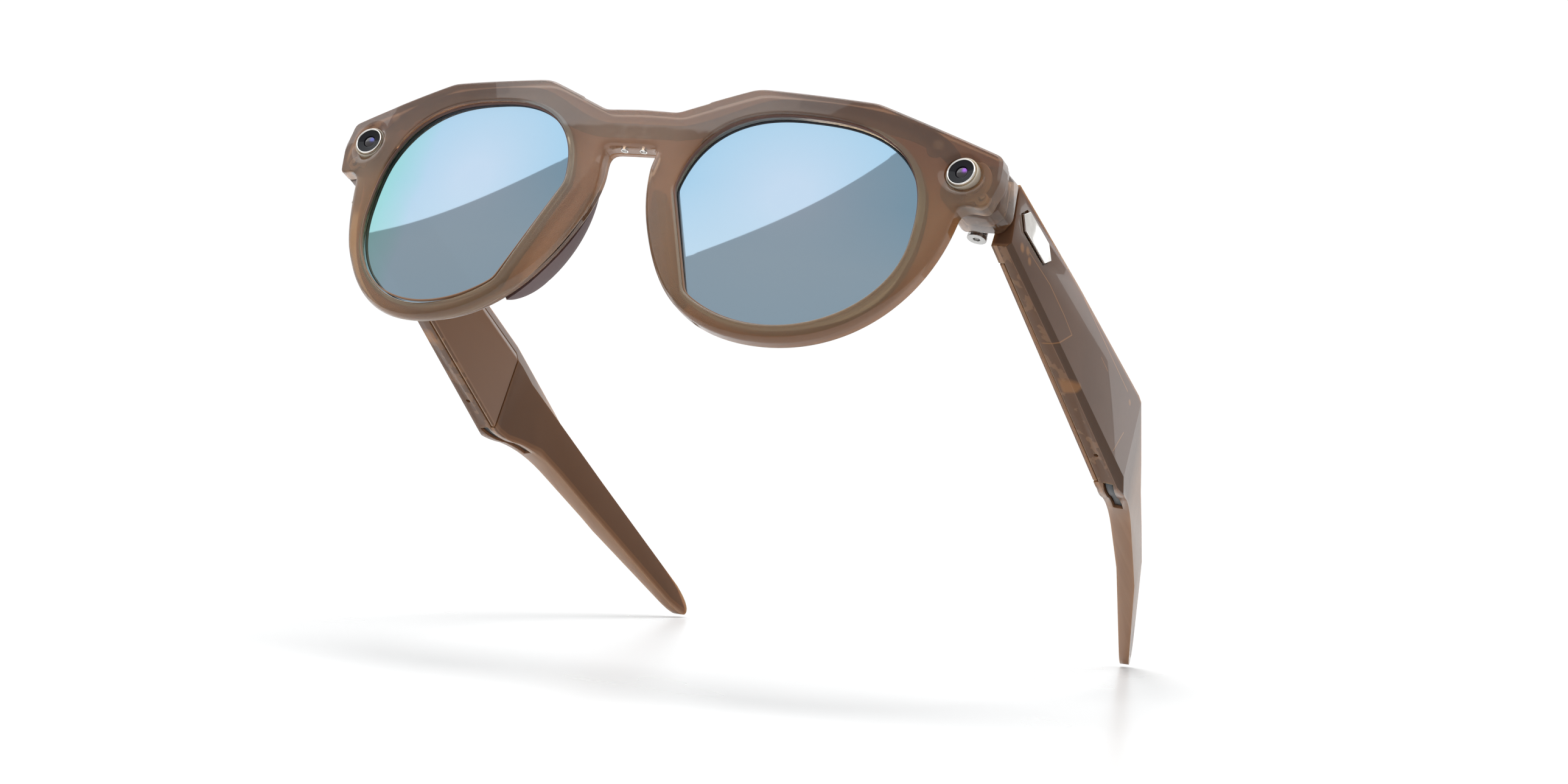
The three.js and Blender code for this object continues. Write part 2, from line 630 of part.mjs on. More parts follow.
placePair('temple_flex', box([INSIDE_X, INSIDE_X + 0.2], [23, 32.9], [-12, -10.4]), FLEX_AMBER);
placeRight('touch_strip', touchStrip(), FLEX_AMBER);
placeRight('capture_button', captureButton(), FRAME_PLASTIC);
placeRight('button_switch', box([71.3, 71.9], [33.6, 36.6], [-6.2, -4.6]), CHROME);
placeOne('power_slider', powerSlider(), BLACK_PLASTIC);
placeOne('slider_switch', box([INSIDE_X + 0.2, INSIDE_X + 0.8], [44.2, 50.4], [-10.3, -7.7]),
  BLACK_PLASTIC);

export default stance;
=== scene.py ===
import math

import bmesh
import bpy
import numpy as np
from mathutils import Matrix, Vector, geometry


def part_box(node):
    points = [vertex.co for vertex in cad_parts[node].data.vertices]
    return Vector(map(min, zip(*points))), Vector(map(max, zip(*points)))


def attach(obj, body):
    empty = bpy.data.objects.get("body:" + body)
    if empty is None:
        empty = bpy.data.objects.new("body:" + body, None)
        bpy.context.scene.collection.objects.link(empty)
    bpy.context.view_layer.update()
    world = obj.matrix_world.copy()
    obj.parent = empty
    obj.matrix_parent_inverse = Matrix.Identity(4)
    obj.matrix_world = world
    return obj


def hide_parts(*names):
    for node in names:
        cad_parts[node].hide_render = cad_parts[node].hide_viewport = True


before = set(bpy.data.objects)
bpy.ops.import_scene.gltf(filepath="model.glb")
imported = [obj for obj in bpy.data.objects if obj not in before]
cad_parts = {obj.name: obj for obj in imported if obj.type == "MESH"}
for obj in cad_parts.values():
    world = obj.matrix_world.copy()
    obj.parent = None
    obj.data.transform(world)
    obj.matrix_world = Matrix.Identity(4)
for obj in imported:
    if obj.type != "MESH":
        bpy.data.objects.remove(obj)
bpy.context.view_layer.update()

MM = 0.001
SIDES = ((1, "left"), (-1, "right"))

# The part is drawn in millimetres in its own upright frame: +X the wearer's left, the front
# faces -Y, +Z up. This turns it to the row's frame, where it stands on its rims and temple tips.
STANDING_TURN = math.radians(2.552)
TILT = Matrix.Rotation(-STANDING_TURN, 4, "X")
STANCE = Matrix.Translation((0, -78.33 * MM, 45.698 * MM)) @ TILT @ Matrix.Scale(MM, 4)

# ---- Sizes in millimetres, the same as the part's ------------------------------------------------
FACE_BEND = 0.00214
FRONT_THICK = 3.4
REAR_START = 3.7
REAR_THICK = 1.2
REAR_TRIM = 0.6 + 0.7  # the part's, and a little more to stay behind the rolled edge
BROW_TOP = 6.2
CORNER_X = 72.1
BLOCK_IN = 61.6
BLOCK_TOP = -0.3
BLOCK_LOW = -11.2
BLOCK_BACK = 20.3
RIM_BOTTOM = -45.4
LENS_X = 36.1
LENS_Z = -20.3
LENS_HALF_WIDE = 24.2
LENS_HALF_HIGH = 22.2
LENS_START = 1.6
LENS_THICK = 1.6
LENS_GROOVE = 0.9
NASAL_CUT = (Vector((11.2, -14.3)), Vector((21.6, -39.2)))
NASAL_CREASE = (Vector((6.6, -13.0)), Vector((20.2, -41.0)))
MODULE = Vector((66.0, -5.1))
WELL_R = 3.35


# ---- Curves drawn in X and Z ---------------------------------------------------------------------
class Pen:
    """Collects the points of an outline made of lines and Bezier curves."""

    def __init__(self, x, z):
        self.points = [Vector((x, z))]

    def line(self, x, z):
        self.points.append(Vector((x, z)))
        return self

    def curve(self, a, b, c, steps=24):
        start, a, b, c = self.points[-1].copy(), Vector(a), Vector(b), Vector(c)
        for i in range(1, steps + 1):
            t = i / steps
            s = 1 - t
            self.points.append(s**3 * start + 3 * s * s * t * a + 3 * s * t * t * b + t**3 * c)
        return self

    def bow(self, a, b, steps=16):
        start, a, b = self.points[-1].copy(), Vector(a), Vector(b)
        for i in range(1, steps + 1):
            t = i / steps
            self.points.append((1 - t) ** 2 * start + 2 * (1 - t) * t * a + t * t * b)
        return self


def circle(x, z, radius, count=64):
    return np.array([(x + radius * math.cos(2 * math.pi * i / count),
                      z + radius * math.sin(2 * math.pi * i / count)) for i in range(count)])


def resampled(points, step):
    """A closed line with evenly spaced points."""
    pts = np.array([tuple(p) for p in points], float)
    closed = np.vstack([pts, pts[:1]])
    lengths = np.r_[0, np.cumsum(np.linalg.norm(np.diff(closed, axis=0), axis=1))]
    count = max(8, int(round(lengths[-1] / step)))
    at = np.arange(count) / count * lengths[-1]
    return np.c_[np.interp(at, lengths, closed[:, 0]), np.interp(at, lengths, closed[:, 1])]


def rounded(points, step, passes):
    """Evenly spaced points with the corners worn round."""
    pts = resampled(points, step)
    for _ in range(passes):
        pts = 0.5 * pts + 0.25 * (np.roll(pts, 1, 0) + np.roll(pts, -1, 0))
    return pts


def front_outline(trim=0.0):
    low = RIM_BOTTOM + trim / 2
    pen = Pen(0, 0).line(8, -0.2).line(22, 5.7).bow((23.2, BROW_TOP), (25.5, BROW_TOP))
    pen.line(47, BROW_TOP).line(CORNER_X, BLOCK_TOP).line(72.8, -5.5).line(71.6, BLOCK_LOW)
    pen.line(69, BLOCK_LOW).bow((66.6 - trim, -11.4), (66.3 - trim, -13.5))
    pen.curve((64.9 - trim, -31), (54 - trim, low), (LENS_X, low), 48)
    pen.curve((22, low), (14.5, -36.5), (9.9, -28), 32)
    pen.curve((7.4, -23.2), (5.5, -18.5), (5.6, -13.5)).curve((5.7, -11), (6.9, -8), (4.9, -8), 12)
    pen.line(0, -8)
    half = pen.points
    return half + [Vector((-p.x, p.y)) for p in reversed(half[1:-1])]


def lens_outline(grow=0.0, side=1):
    """A squarer upper half, a rounder lower half and a straight nasal edge, grown by a margin."""
    rim = []
    for step in range(240):
        angle = 2 * math.pi * step / 240
        power = 2 / (2.6 if math.sin(angle) >= 0 else 2.0)
        across = math.copysign(abs(math.cos(angle)) ** power, math.cos(angle))
        up = math.copysign(abs(math.sin(angle)) ** power, math.sin(angle))
        rim.append(Vector((LENS_X + (LENS_HALF_WIDE + grow) * across,
                           LENS_Z + (LENS_HALF_HIGH + grow) * up)))
    along = (NASAL_CUT[1] - NASAL_CUT[0]).normalized()
    toward_nose = Vector((along.y, -along.x))
    kept = []
    for i, p in enumerate(rim):
        q = rim[(i + 1) % len(rim)]
        a, b = (((v - NASAL_CUT[0]).dot(toward_nose) - grow) for v in (p, q))
        if a <= 0:
            kept.append(p)
        if (a <= 0) != (b <= 0):
            kept.append(p + (q - p) * (a / (a - b)))
    return [Vector((side * p.x, p.y)) for p in (kept if side > 0 else reversed(kept))]


def distance_to(points, loop):
    """Distance of each point to a closed line."""
    a, b = loop, np.roll(loop, -1, 0)
    ab = b - a
    best = np.full(len(points), 1e9)
    for start in range(0, len(points), 4000):
        p = points[start:start + 4000, None, :]
        t = np.clip(((p - a) * ab).sum(2) / (ab * ab).sum(1), 0, 1)
        best[start:start + 4000] = np.linalg.norm(p - (a + t[..., None] * ab), axis=2).min(1)
    return best


def inside(points, loop):
    a, b = loop, np.roll(loop, -1, 0)
    x, z = points[:, :1], points[:, 1:]
    crosses = (a[:, 1] > z) != (b[:, 1] > z)
    with np.errstate(divide="ignore", invalid="ignore"):
        at = (b[:, 0] - a[:, 0]) * (z - a[:, 1]) / (b[:, 1] - a[:, 1]) + a[:, 0]
    return (crosses & (x < at)).sum(1) % 2 == 1


def inward(loop):
    """Unit normals of a closed line, to its left."""
    along = np.roll(loop, -1, 0) - np.roll(loop, 1, 0)
    along /= np.linalg.norm(along, axis=1)[:, None]
    return np.c_[-along[:, 1], along[:, 0]]


def area(loop):
    x, z = loop[:, 0], loop[:, 1]
    return 0.5 * (x * np.roll(z, -1) - np.roll(x, -1) * z).sum()


def plate(name, outline, holes, front, back, rings, step, lines=(), rim=None):
    """A closed plate. The front and back are depths over the points and their distance from
    the outline and from the holes; rings are the distances where points follow the edges, and
    rim is the distance within which normals come from the triangles."""
    outline = outline if area(outline) > 0 else outline[::-1]
    holes = [hole if area(hole) < 0 else hole[::-1] for hole in holes]
    loops = [outline, *holes]
    extra = []
    for loop in loops:
        normals = inward(loop)
        for depth in rings:
            ring = loop + normals * depth
            clear = np.min([distance_to(ring, other) for other in loops], axis=0)
            extra.append(ring[clear > 0.96 * depth])
    extra += lines
    (x0, z0), (x1, z1) = outline.min(0), outline.max(0)
    grid = np.array([(x, z) for x in np.arange(x0, x1, step) for z in np.arange(z0, z1, step)])
    extra.append(grid[np.min([distance_to(grid, loop) for loop in loops], axis=0)
                      > rings[-1] + 0.6 * step])
    extra = np.vstack(extra)
    held = inside(extra, outline)
    for hole in holes:
        held &= ~inside(extra, hole)
    points = np.vstack([*loops, extra[held]])
    edges, first = [], 0
    for loop in loops:
        edges += [(first + i, first + (i + 1) % len(loop)) for i in range(len(loop))]
        first += len(loop)
    points, _, triangles = geometry.delaunay_2d_cdt(
        [Vector(p) for p in points], edges, [], 0, 1e-4, False)[:3]
    points = np.array([tuple(p) for p in points])
    triangles = np.array([tuple(t) for t in triangles])
    middles = points[triangles].mean(1)
    held = inside(middles, outline)
    for hole in holes:
        held &= ~inside(middles, hole)
    triangles = triangles[held]
    used, triangles = np.unique(triangles, return_inverse=True)
    points, triangles = points[used], triangles.reshape(-1, 3)
    p, q, r = points[triangles[:, 0]], points[triangles[:, 1]], points[triangles[:, 2]]
    wrong = (q - p)[:, 0] * (r - p)[:, 1] - (q - p)[:, 1] * (r - p)[:, 0] < 0
    triangles[wrong] = triangles[wrong][:, ::-1]

    def depths(face, at):
        out = distance_to(at, outline)
        gap = np.min([distance_to(at, hole) for hole in holes], axis=0) if holes else out + 99
        return face(at[:, 0], at[:, 1], out, gap)

    count = len(points)
    corners = np.vstack([np.c_[points[:, 0], depths(face, points), points[:, 1]]
                         for face in (front, back)])
    faces = [tuple(t) for t in triangles] + [tuple(t[::-1] + count) for t in triangles]
    sides = [(a, b) for t in triangles for a, b in zip(t, np.roll(t, -1))]
    known = set(sides)
    sides = [(a, b) for a, b in sides if (b, a) not in known]
    faces += [(b, a, a + count, b + count) for a, b in sides]

    # Each vertex has one normal for the flat of the plate and one for its wall.
    flat = np.zeros_like(corners)
    for group in (triangles, triangles[:, ::-1] + count):
        a, b, c = (corners[group[:, i]] for i in range(3))
        cross = np.cross(b - a, c - a)
        for i in range(3):
            np.add.at(flat, group[:, i], cross)
    small = 0.02
    rim = rings[-1] if rim is None else rim
    calm = np.min([distance_to(points, loop) for loop in loops], axis=0) > rim + small
    for base, face, sign in ((0, front, -1), (count, back, 1)):
        rise = [(depths(face, points[calm] + nudge) - depths(face, points[calm] - nudge))
                / (2 * small) for nudge in (np.array([small, 0]), np.array([0, small]))]
        flat[base:base + count][calm] = np.c_[-sign * rise[0], np.full(calm.sum(), sign),
                                              -sign * rise[1]]
    flat /= np.linalg.norm(flat, axis=1)[:, None]
    wall = np.zeros((count, 2))
    for a, b in sides:
        along = points[b] - points[a]
        wall[[a, b]] += np.array([along[1], -along[0]])
    wall /= np.maximum(np.linalg.norm(wall, axis=1), 1e-9)[:, None]
    normals = [flat[i] for face in faces[:2 * len(triangles)] for i in face]
    normals += [(wall[i % count][0], 0, wall[i % count][1])
                for face in faces[2 * len(triangles):] for i in face]
    turn = np.array(TILT.to_3x3())
    mesh = bpy.data.meshes.new(name)
    mesh.from_pydata([STANCE @ Vector(c) for c in corners], [], [list(map(int, f)) for f in faces])
    mesh.shade_smooth()
    mesh.normals_split_custom_set([tuple(turn @ n) for n in np.array(normals)])
    made = bpy.data.objects.new(name, mesh)
    bpy.context.scene.collection.objects.link(made)
    return made


def finished(name, bm, sharp=38):
    """A mesh object in the row's frame from a bmesh in the part's frame."""
    bm.transform(STANCE)
    mesh = bpy.data.meshes.new(name)
    bm.to_mesh(mesh)
    bm.free()
    mesh.shade_smooth()
    mesh.set_sharp_from_angle(angle=math.radians(sharp))
    made = bpy.data.objects.new(name, mesh)
    bpy.context.scene.collection.objects.link(made)
    return made


def lathe(name, profile, centre, segments=96, sharp=38):
    """Turns a profile of radius and depth about an axis along Y through the centre, in X and Z.
    A profile that starts and ends at radius 0 is closed by it; any other closes on itself."""
    bm = bmesh.new()
    rings = []
    for radius, depth in profile:
        ring = circle(*centre, radius, segments) if radius > 1e-6 else [centre]
        rings.append([bm.verts.new((x, depth, z)) for x, z in ring])
    pairs = list(zip(rings, rings[1:]))
    if len(rings[0]) > 1:
        pairs.append((rings[-1], rings[0]))
    for a, b in pairs:
        for i in range(segments):
            j = (i + 1) % segments
            corners = [a[i % len(a)], a[j % len(a)], b[j % len(b)], b[i % len(b)]]
            corners = [v for k, v in enumerate(corners) if v not in corners[:k]]
            if len(corners) > 2:
                bm.faces.new(corners)
    bmesh.ops.recalc_face_normals(bm, faces=bm.faces)
    return finished(name, bm, sharp)


def lofted(bm, sections):
    """A closed skin through sections that each have the same number of points."""
    rows = [[bm.verts.new(p) for p in section] for section in sections]
    for a, b in zip(rows, rows[1:]):
        for i in range(len(a)):
            j = (i + 1) % len(a)
            bm.faces.new((a[i], a[j], b[j], b[i]))
    bm.faces.new(list(reversed(rows[0])))
    bm.faces.new(rows[-1])
    bmesh.ops.recalc_face_normals(bm, faces=bm.faces)
    return bm


def softened(bm, width, segments=4, above=20):
    """Rounds the edges that turn by more than an angle in degrees."""
    bmesh.ops.recalc_face_normals(bm, faces=bm.faces)
    edges = [e for e in bm.edges
             if len(e.link_faces) == 2 and e.calc_face_angle(0) > math.radians(above)]
    bmesh.ops.bevel(bm, geom=edges, offset=width, segments=segments, profile=0.5,
                    affect="EDGES", clamp_overlap=True)
    return bm


def block(low, high):
    """A bmesh box between two corners."""
    bm = bmesh.new()
    (x0, y0, z0), (x1, y1, z1) = low, high
    lofted(bm, [[(x0, y, z0), (x1, y, z0), (x1, y, z1), (x0, y, z1)] for y in (y0, y1)])
    return bm


def flipped(bm, side):
    if side < 0:
        bmesh.ops.scale(bm, vec=(-1, 1, 1), verts=bm.verts)
        bmesh.ops.reverse_faces(bm, faces=bm.faces)
    return bm


def combined(obj, others, operation):
    """Joins or carves with other closed pieces, which are then gone."""
    for other in others:
        boolean = obj.modifiers.new("Combine", "BOOLEAN")
        boolean.object = other
        boolean.operation = operation
        boolean.solver = "MANIFOLD"
        graph = bpy.context.evaluated_depsgraph_get()
        mesh = bpy.data.meshes.new_from_object(obj.evaluated_get(graph))
        obj.modifiers.clear()
        obj.data = mesh
    for other in others:
        bpy.data.objects.remove(other)
    return obj


def piece(obj, body, slot, material, *stands_for):
    obj.data.materials.clear()
    obj.data.materials.append(material)
    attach(obj, body)
    if stands_for:
        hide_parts(*stands_for)
    return obj


# ---- Materials -----------------------------------------------------------------------------------
class Net:
    """Adds nodes to a material or a world. What goes in is a number, a colour or an output."""

    def __init__(self, tree):
        self.nodes, self.links = tree.nodes, tree.links

    def feed(self, socket, value):
        if isinstance(value, tuple):
            socket.default_value = (*value, 1)
        elif isinstance(value, (int, float)):
            socket.default_value = value
        else:
            self.links.new(value, socket)

    def place(self):
        return self.nodes.new("ShaderNodeTexCoord").outputs["Object"]

    def noise(self, scale, detail, stretch=(1, 1, 1)):
        mapping = self.nodes.new("ShaderNodeMapping")
        mapping.inputs["Scale"].default_value = stretch
        texture = self.nodes.new("ShaderNodeTexNoise")
        texture.inputs["Scale"].default_value = scale
        texture.inputs["Detail"].default_value = detail
        self.links.new(self.place(), mapping.inputs["Vector"])
        self.links.new(mapping.outputs["Vector"], texture.inputs["Vector"])
        return texture.outputs["Fac"]

    def ramp(self, value, stops):
        made = self.nodes.new("ShaderNodeValToRGB")
        elements = made.color_ramp.elements
        while len(elements) < len(stops):
            elements.new(0.5)
        for element, (at, color) in zip(elements, stops):
            element.position = at
            element.color = (*color, 1)
        self.links.new(value, made.inputs["Fac"])
        return made.outputs["Color"]

    def fade(self, value, low, high, to_low=0, to_high=1):
        """Runs from one number to another as the value goes from low to high."""
        made = self.nodes.new("ShaderNodeMapRange")
        for name, number in (("From Min", low), ("From Max", high),
                             ("To Min", to_low), ("To Max", to_high)):
            made.inputs[name].default_value = number
        self.links.new(value, made.inputs["Value"])
        return made.outputs["Result"]

    def math(self, kind, *values):
        made = self.nodes.new("ShaderNodeMath")
        made.operation = kind
        for socket, value in zip(made.inputs, values):
            self.feed(socket, value)
        return made.outputs["Value"]

    def minus(self, value, other):
        return self.math("SUBTRACT", value, other)

    def times(self, value, *others):
        for other in others:
            value = self.math("MULTIPLY", value, other)
        return value

    def vector(self, kind, value, other):
        made = self.nodes.new("ShaderNodeVectorMath")
        made.operation = kind
        self.links.new(value, made.inputs[0])
        made.inputs[1].default_value = other
        return made.outputs["Value" if kind in ("DISTANCE", "DOT_PRODUCT") else "Vector"]

    def upright(self, value):
        """Turns a direction from the row's frame to the part's."""
        made = self.nodes.new("ShaderNodeVectorRotate")
        made.rotation_type = "X_AXIS"
        made.inputs["Angle"].default_value = STANDING_TURN
        self.links.new(value, made.inputs["Vector"])
        return made.outputs["Vector"]

    def split(self, value):
        made = self.nodes.new("ShaderNodeSeparateXYZ")
        self.links.new(value, made.inputs["Vector"])
        return made.outputs["X"], made.outputs["Y"], made.outputs["Z"]

    def axes(self):
        """Where a point lies in the part's own frame, in millimetres."""
        moved = self.upright(self.vector("SUBTRACT", self.place(), STANCE.to_translation()))
        return self.split(self.vector("MULTIPLY", moved, (1 / MM, 1 / MM, 1 / MM)))

    def height_along(self, y, line):
        """The height of a line drawn in Y and Z, at each Y."""
        curve = self.nodes.new("ShaderNodeFloatCurve")
        points = curve.mapping.curves[0].points
        while len(points) < len(line):
            points.new(0.5, 0.5)
        for point, (along, up) in zip(points, line):
            point.location = ((along - LINES_FROM) / (LINES_TO - LINES_FROM),
                              (up - LINES_LOW) / -LINES_LOW)
            point.handle_type = "VECTOR"
        curve.mapping.update()
        self.links.new(self.fade(y, LINES_FROM, LINES_TO), curve.inputs["Value"])
        return self.fade(curve.outputs["Value"], 0, 1, LINES_LOW, 0)

    def streaks(self, across, up, lines):
        """1 on short lines, each between two points and of a half width, 0 away from them."""
        seen = 0.0
        for start, end, half_width in lines:
            along = Vector(end) - Vector(start)
            half = along.length / 2
            along = along / along.length
            a, b = self.minus(across, start[0]), self.minus(up, start[1])
            run = self.math("MULTIPLY_ADD", a, along.x, self.times(b, along.y))
            off = self.math("MULTIPLY_ADD", b, along.x, self.times(a, -along.y))
            past = self.minus(self.math("ABSOLUTE", self.minus(run, half)), half)
            past = self.math("MAXIMUM", past, 0.0)
            apart = self.math("ADD", self.times(past, past), self.times(off, off))
            apart = self.math("SQRT", apart)
            line = self.fade(apart, half_width * 0.6, half_width * 1.4, 1, 0)
            seen = self.math("MAXIMUM", seen, line)
        return seen

    def mixed(self, share, a, b):
        made = self.nodes.new("ShaderNodeMix")
        for name, value in (("Factor", share), ("A", a), ("B", b)):
            self.feed(made.inputs[name], value)
        return made.outputs["Result"]

    def tinted(self, color, mask, other):
        made = self.nodes.new("ShaderNodeMix")
        made.data_type = "RGBA"
        for at, value in ((0, mask), (6, color), (7, other)):
            self.feed(made.inputs[at], value)
        return made.outputs[2]

    def paint(self, shader, coats):
        """Lays colours over the base colour of a shader, each where its mask is 1."""
        color = shader.inputs["Base Color"].links[0].from_socket
        for mask, other in coats:
            color = self.tinted(color, mask, other)
        self.links.new(color, shader.inputs["Base Color"])

    def bump(self, shader, value, strength, distance):
        bump = self.nodes.new("ShaderNodeBump")
        bump.inputs["Strength"].default_value = strength
        bump.inputs["Distance"].default_value = distance
        self.links.new(value, bump.inputs["Height"])
        self.links.new(bump.outputs["Normal"], shader.inputs["Normal"])


def opened(material):
    net = Net(material.node_tree)
    return material, net, net.nodes["Principled BSDF"]


def new_material(name):
    material = bpy.data.materials.new(name)
    material.use_nodes = True
    return opened(material)


def fill(node, values):
    for name, value in values.items():
        node.inputs[name].default_value = value


def plastic(name, dark, light, clear=0.0, rough=(0.2, 0.3), milky=0.0, grain=0.0, gloss=0.0):
    material, net, shader = new_material(name)
    net.feed(shader.inputs["Base Color"], net.ramp(net.noise(55, 4), [(0.3, dark), (0.7, light)]))
    fine = net.noise(900, 2)
    net.feed(shader.inputs["Roughness"], net.fade(fine, 0, 1, *rough))
    fill(shader, {
        "IOR": 1.2 if gloss else 1.5,  # under a coat, the coat does the mirroring
        "Transmission Weight": clear, "Subsurface Weight": milky,
        "Subsurface Radius": (1.0, 0.6, 0.35), "Subsurface Scale": 0.004,
        "Coat Weight": gloss, "Coat Roughness": 0.01, "Coat IOR": 1.5})
    if grain:
        net.bump(shader, fine, grain, 0.0001)
    return material


def metal(name, dark, light, rough=(0.2, 0.35), stretch=(1, 1, 1)):
    material, net, shader = new_material(name)
    brushed = net.noise(700, 3, stretch)
    net.feed(shader.inputs["Base Color"], net.ramp(brushed, [(0.3, dark), (0.7, light)]))
    net.feed(shader.inputs["Roughness"], net.fade(brushed, 0, 1, *rough))
    fill(shader, {"Metallic": 1})
    net.bump(shader, brushed, 0.1, 0.00005)
    return material


def lens_with_painted_glint(name, side, painted_glint):
    """A camera lens that is black but for a painted glint to one side: the coloured reflection of
    its coating, painted into the base colour at a fixed spot.
    """
    material, net, shader = new_material(name)
    # painted glint: coloured reflection at this spot, fading to black away from it
    painted_glint_at = STANCE @ Vector((side * MODULE.x + 0.55, 9.0, MODULE.y + 0.5))
    away = net.fade(net.vector("DISTANCE", net.place(), painted_glint_at), 0.0002, 0.0009)
    net.feed(shader.inputs["Base Color"], net.ramp(away, [
        (0.0, painted_glint), (0.6, tuple(c * 0.15 for c in painted_glint)), (1.0, (0.006, 0.003, 0.006))]))
    fill(shader, {"Roughness": 0.05, "Coat Weight": 1})
    return material


def mirror_lens(name, side):
    """A blue mirror coat with painted reflection, palest in the middle and greyer toward the
    bottom; the right lens turns green at its outer edge.
    """
    material, net, shader = new_material(name)
    middle = STANCE @ Vector((side * (LENS_X - 1), 0, LENS_Z + 5))
    flat = net.vector("MULTIPLY", net.place(), (1, 0, 1))
    away = net.vector("DISTANCE", flat, (middle.x, 0, middle.z))
    # painted reflection: palest around a point a little above the middle
    blue = net.ramp(net.fade(away, 0.004, 0.027), [
        (0.0, (0.37, 0.46, 0.56)), (0.45, (0.31, 0.435, 0.545)), (1.0, (0.245, 0.41, 0.54))])
    x, _, z = net.axes()
    # painted reflection: paler and greyer toward the bottom
    blue = net.tinted(blue, net.fade(z, -14, -28, 0, 0.75), (0.37, 0.47, 0.555))
    ragged = net.math("MULTIPLY_ADD", net.noise(45, 2), 0.9, -0.45)
    green = net.ramp(net.math("ADD", net.fade(x, -44, -62), ragged),
                     [(0.3, (0, 0, 0)), (0.95, (0.75, 0.75, 0.75))])
    net.feed(shader.inputs["Base Color"], net.tinted(blue, green, (0.20, 0.47, 0.43)))
    net.feed(shader.inputs["Roughness"], net.fade(net.noise(300, 2), 0, 1, 0.0, 0.01))
    fill(shader, {"Metallic": 0.86, "Transmission Weight": 1, "IOR": 1.5})
    return material


LINES_FROM, LINES_TO, LINES_LOW = 20, 160, -40  # what the two lines below may cover, in Y and Z
TEMPLE_LOW = ((20.9, -13.8), (56, -21.2), (90.5, -29), (94, -29.2), (98, -28.2), (104.5, -27.1),
              (113, -28.6), (126, -31.4), (154, -38.2), (159.4, -38.6))
TEMPLE_TOP = ((20.9, -0.6), (55, -3.7), (91.5, -8), (116, -18), (142, -28), (155, -33.6),
              (159.4, -37))
TEMPLE_KINK = 91.5  # where the arm turns inward
TEMPLE_IN = 70.0  # the inner face
ARM_SLOPE = 0.222  # how much the arm turns inward
SHADOWS = (  # what shows faintly through the outer face: lines between points in Y and Z
    ((57.9, -4.5), (85.3, -10.2), 0.13), ((29.3, -10.2), (40.7, -10.8), 0.11),
    ((40.7, -10.8), (49.3, -12.7), 0.13), ((49.3, -12.7), (54.3, -14.3), 0.13),
    ((54.3, -14.3), (47.8, -19.8), 0.13), ((25.8, -11.2), (25.9, -11.2), 0.8),
    ((28.5, -10.4), (28.6, -10.4), 0.75), ((29.9, -11.8), (30, -11.8), 0.7),
    ((58.6, -22.9), (61.4, -22.2), 1.0), ((87.1, -11.7), (87.2, -11.8), 0.5),
    ((70, -10.8), (74, -11.7), 0.1), ((86, -19), (82, -25), 0.12))


def temple_plastic(name):
    """Dark smoky faces, lighter along the edges and on the rear arm, with parts showing through."""
    material, net, shader = opened(plastic(
        name, (0.10, 0.047, 0.024), (0.13, 0.062, 0.032), 0.25, (0.3, 0.36), 0.3, 0, 0.55))
    fill(shader, {"Coat IOR": 1.38, "Specular IOR Level": 0.2})
    x, y, z = net.axes()
    out = net.math("MULTIPLY_ADD", net.math("MAXIMUM", net.minus(y, TEMPLE_KINK), 0.0), ARM_SLOPE,
                   net.minus(net.math("ABSOLUTE", x), TEMPLE_IN))
    above = net.minus(z, net.height_along(y, TEMPLE_LOW))
    below = net.minus(net.height_along(y, TEMPLE_TOP), z)
    front_part, rear_part = net.fade(y, 100, 94), net.fade(y, 98, 108)
    bevel = net.math("MULTIPLY_ADD", net.math("ADD", z, 12.6), -0.9, net.math(
        "MULTIPLY_ADD", net.minus(y, 21.0), -0.221, net.minus(out, 4.3)))
    underside = net.times(net.fade(above, 0.3, 0.1), net.fade(bevel, -0.2, -0.3))
    flank = net.times(net.fade(out, 0.3, 0.8, 0, 0.8), rear_part)
    panel = net.times(net.fade(above, 1.3, 1.5), net.fade(below, 0.45, 0.65),
                      net.fade(y, 88, 90), net.fade(out, 1.6, 1.4))
    grain = net.fade(net.noise(600, 2, (1, 0.05, 0.05)), 0.45, 0.6, 0, 0.5)
    blotch = net.fade(net.noise(420, 3, (1, 0.6, 1)), 0.54, 0.58, 0, 0.4)
    net.paint(shader, (
        (net.fade(out, 0.9, 0.1), (0.175, 0.08, 0.036)),  # inner face
        (net.fade(net.math("MINIMUM", above, below), 0.75, 0.2, 0, 0.5), (0.34, 0.19, 0.11)),
        (net.times(net.fade(bevel, -0.2, -0.1), front_part), (0.08, 0.038, 0.018)),
        (underside, (0.14, 0.07, 0.036)),
        (net.times(underside, net.fade(out, 0.4, 0.5), net.fade(out, 1.25, 1.15)),
         (0.34, 0.19, 0.105)),  # a lighter strip along the underside
        (net.math("MAXIMUM", net.times(underside, rear_part), flank), (0.32, 0.185, 0.11)),
        (net.times(grain, flank), (0.24, 0.125, 0.07)),
        (panel, (0.115, 0.054, 0.026)),  # inner face of the rear arm
        (net.times(blotch, underside, front_part), (0.34, 0.18, 0.09)),
        (net.times(net.streaks(y, z, SHADOWS), net.fade(out, 1.6, 2.2, 0, 0.42)),
         (0.50, 0.22, 0.07))))
    return material


FLEX_SHOWING = (  # the circuit behind the brow, seen faintly: lines between points in X and Z
    ((63.5, -2.6), (60.4, -0.3), 1.6), ((60.4, -0.3), (57.5, 1.6), 1.5),
    ((57.5, 1.6), (51.3, 3.0), 1.2), ((51.3, 3.0), (44, 4.0), 1.0), ((44, 4.0), (33, 4.0), 0.9))
EYELET_SHOWING = (((60.4, -0.3), (60.5, -0.3), 0.9),)
CONTACTS_SHOWING = (((1.4, -6.3), (3.4, -6.2), 0.5), ((2.3, -3.9), (2.3, -5.6), 0.5))


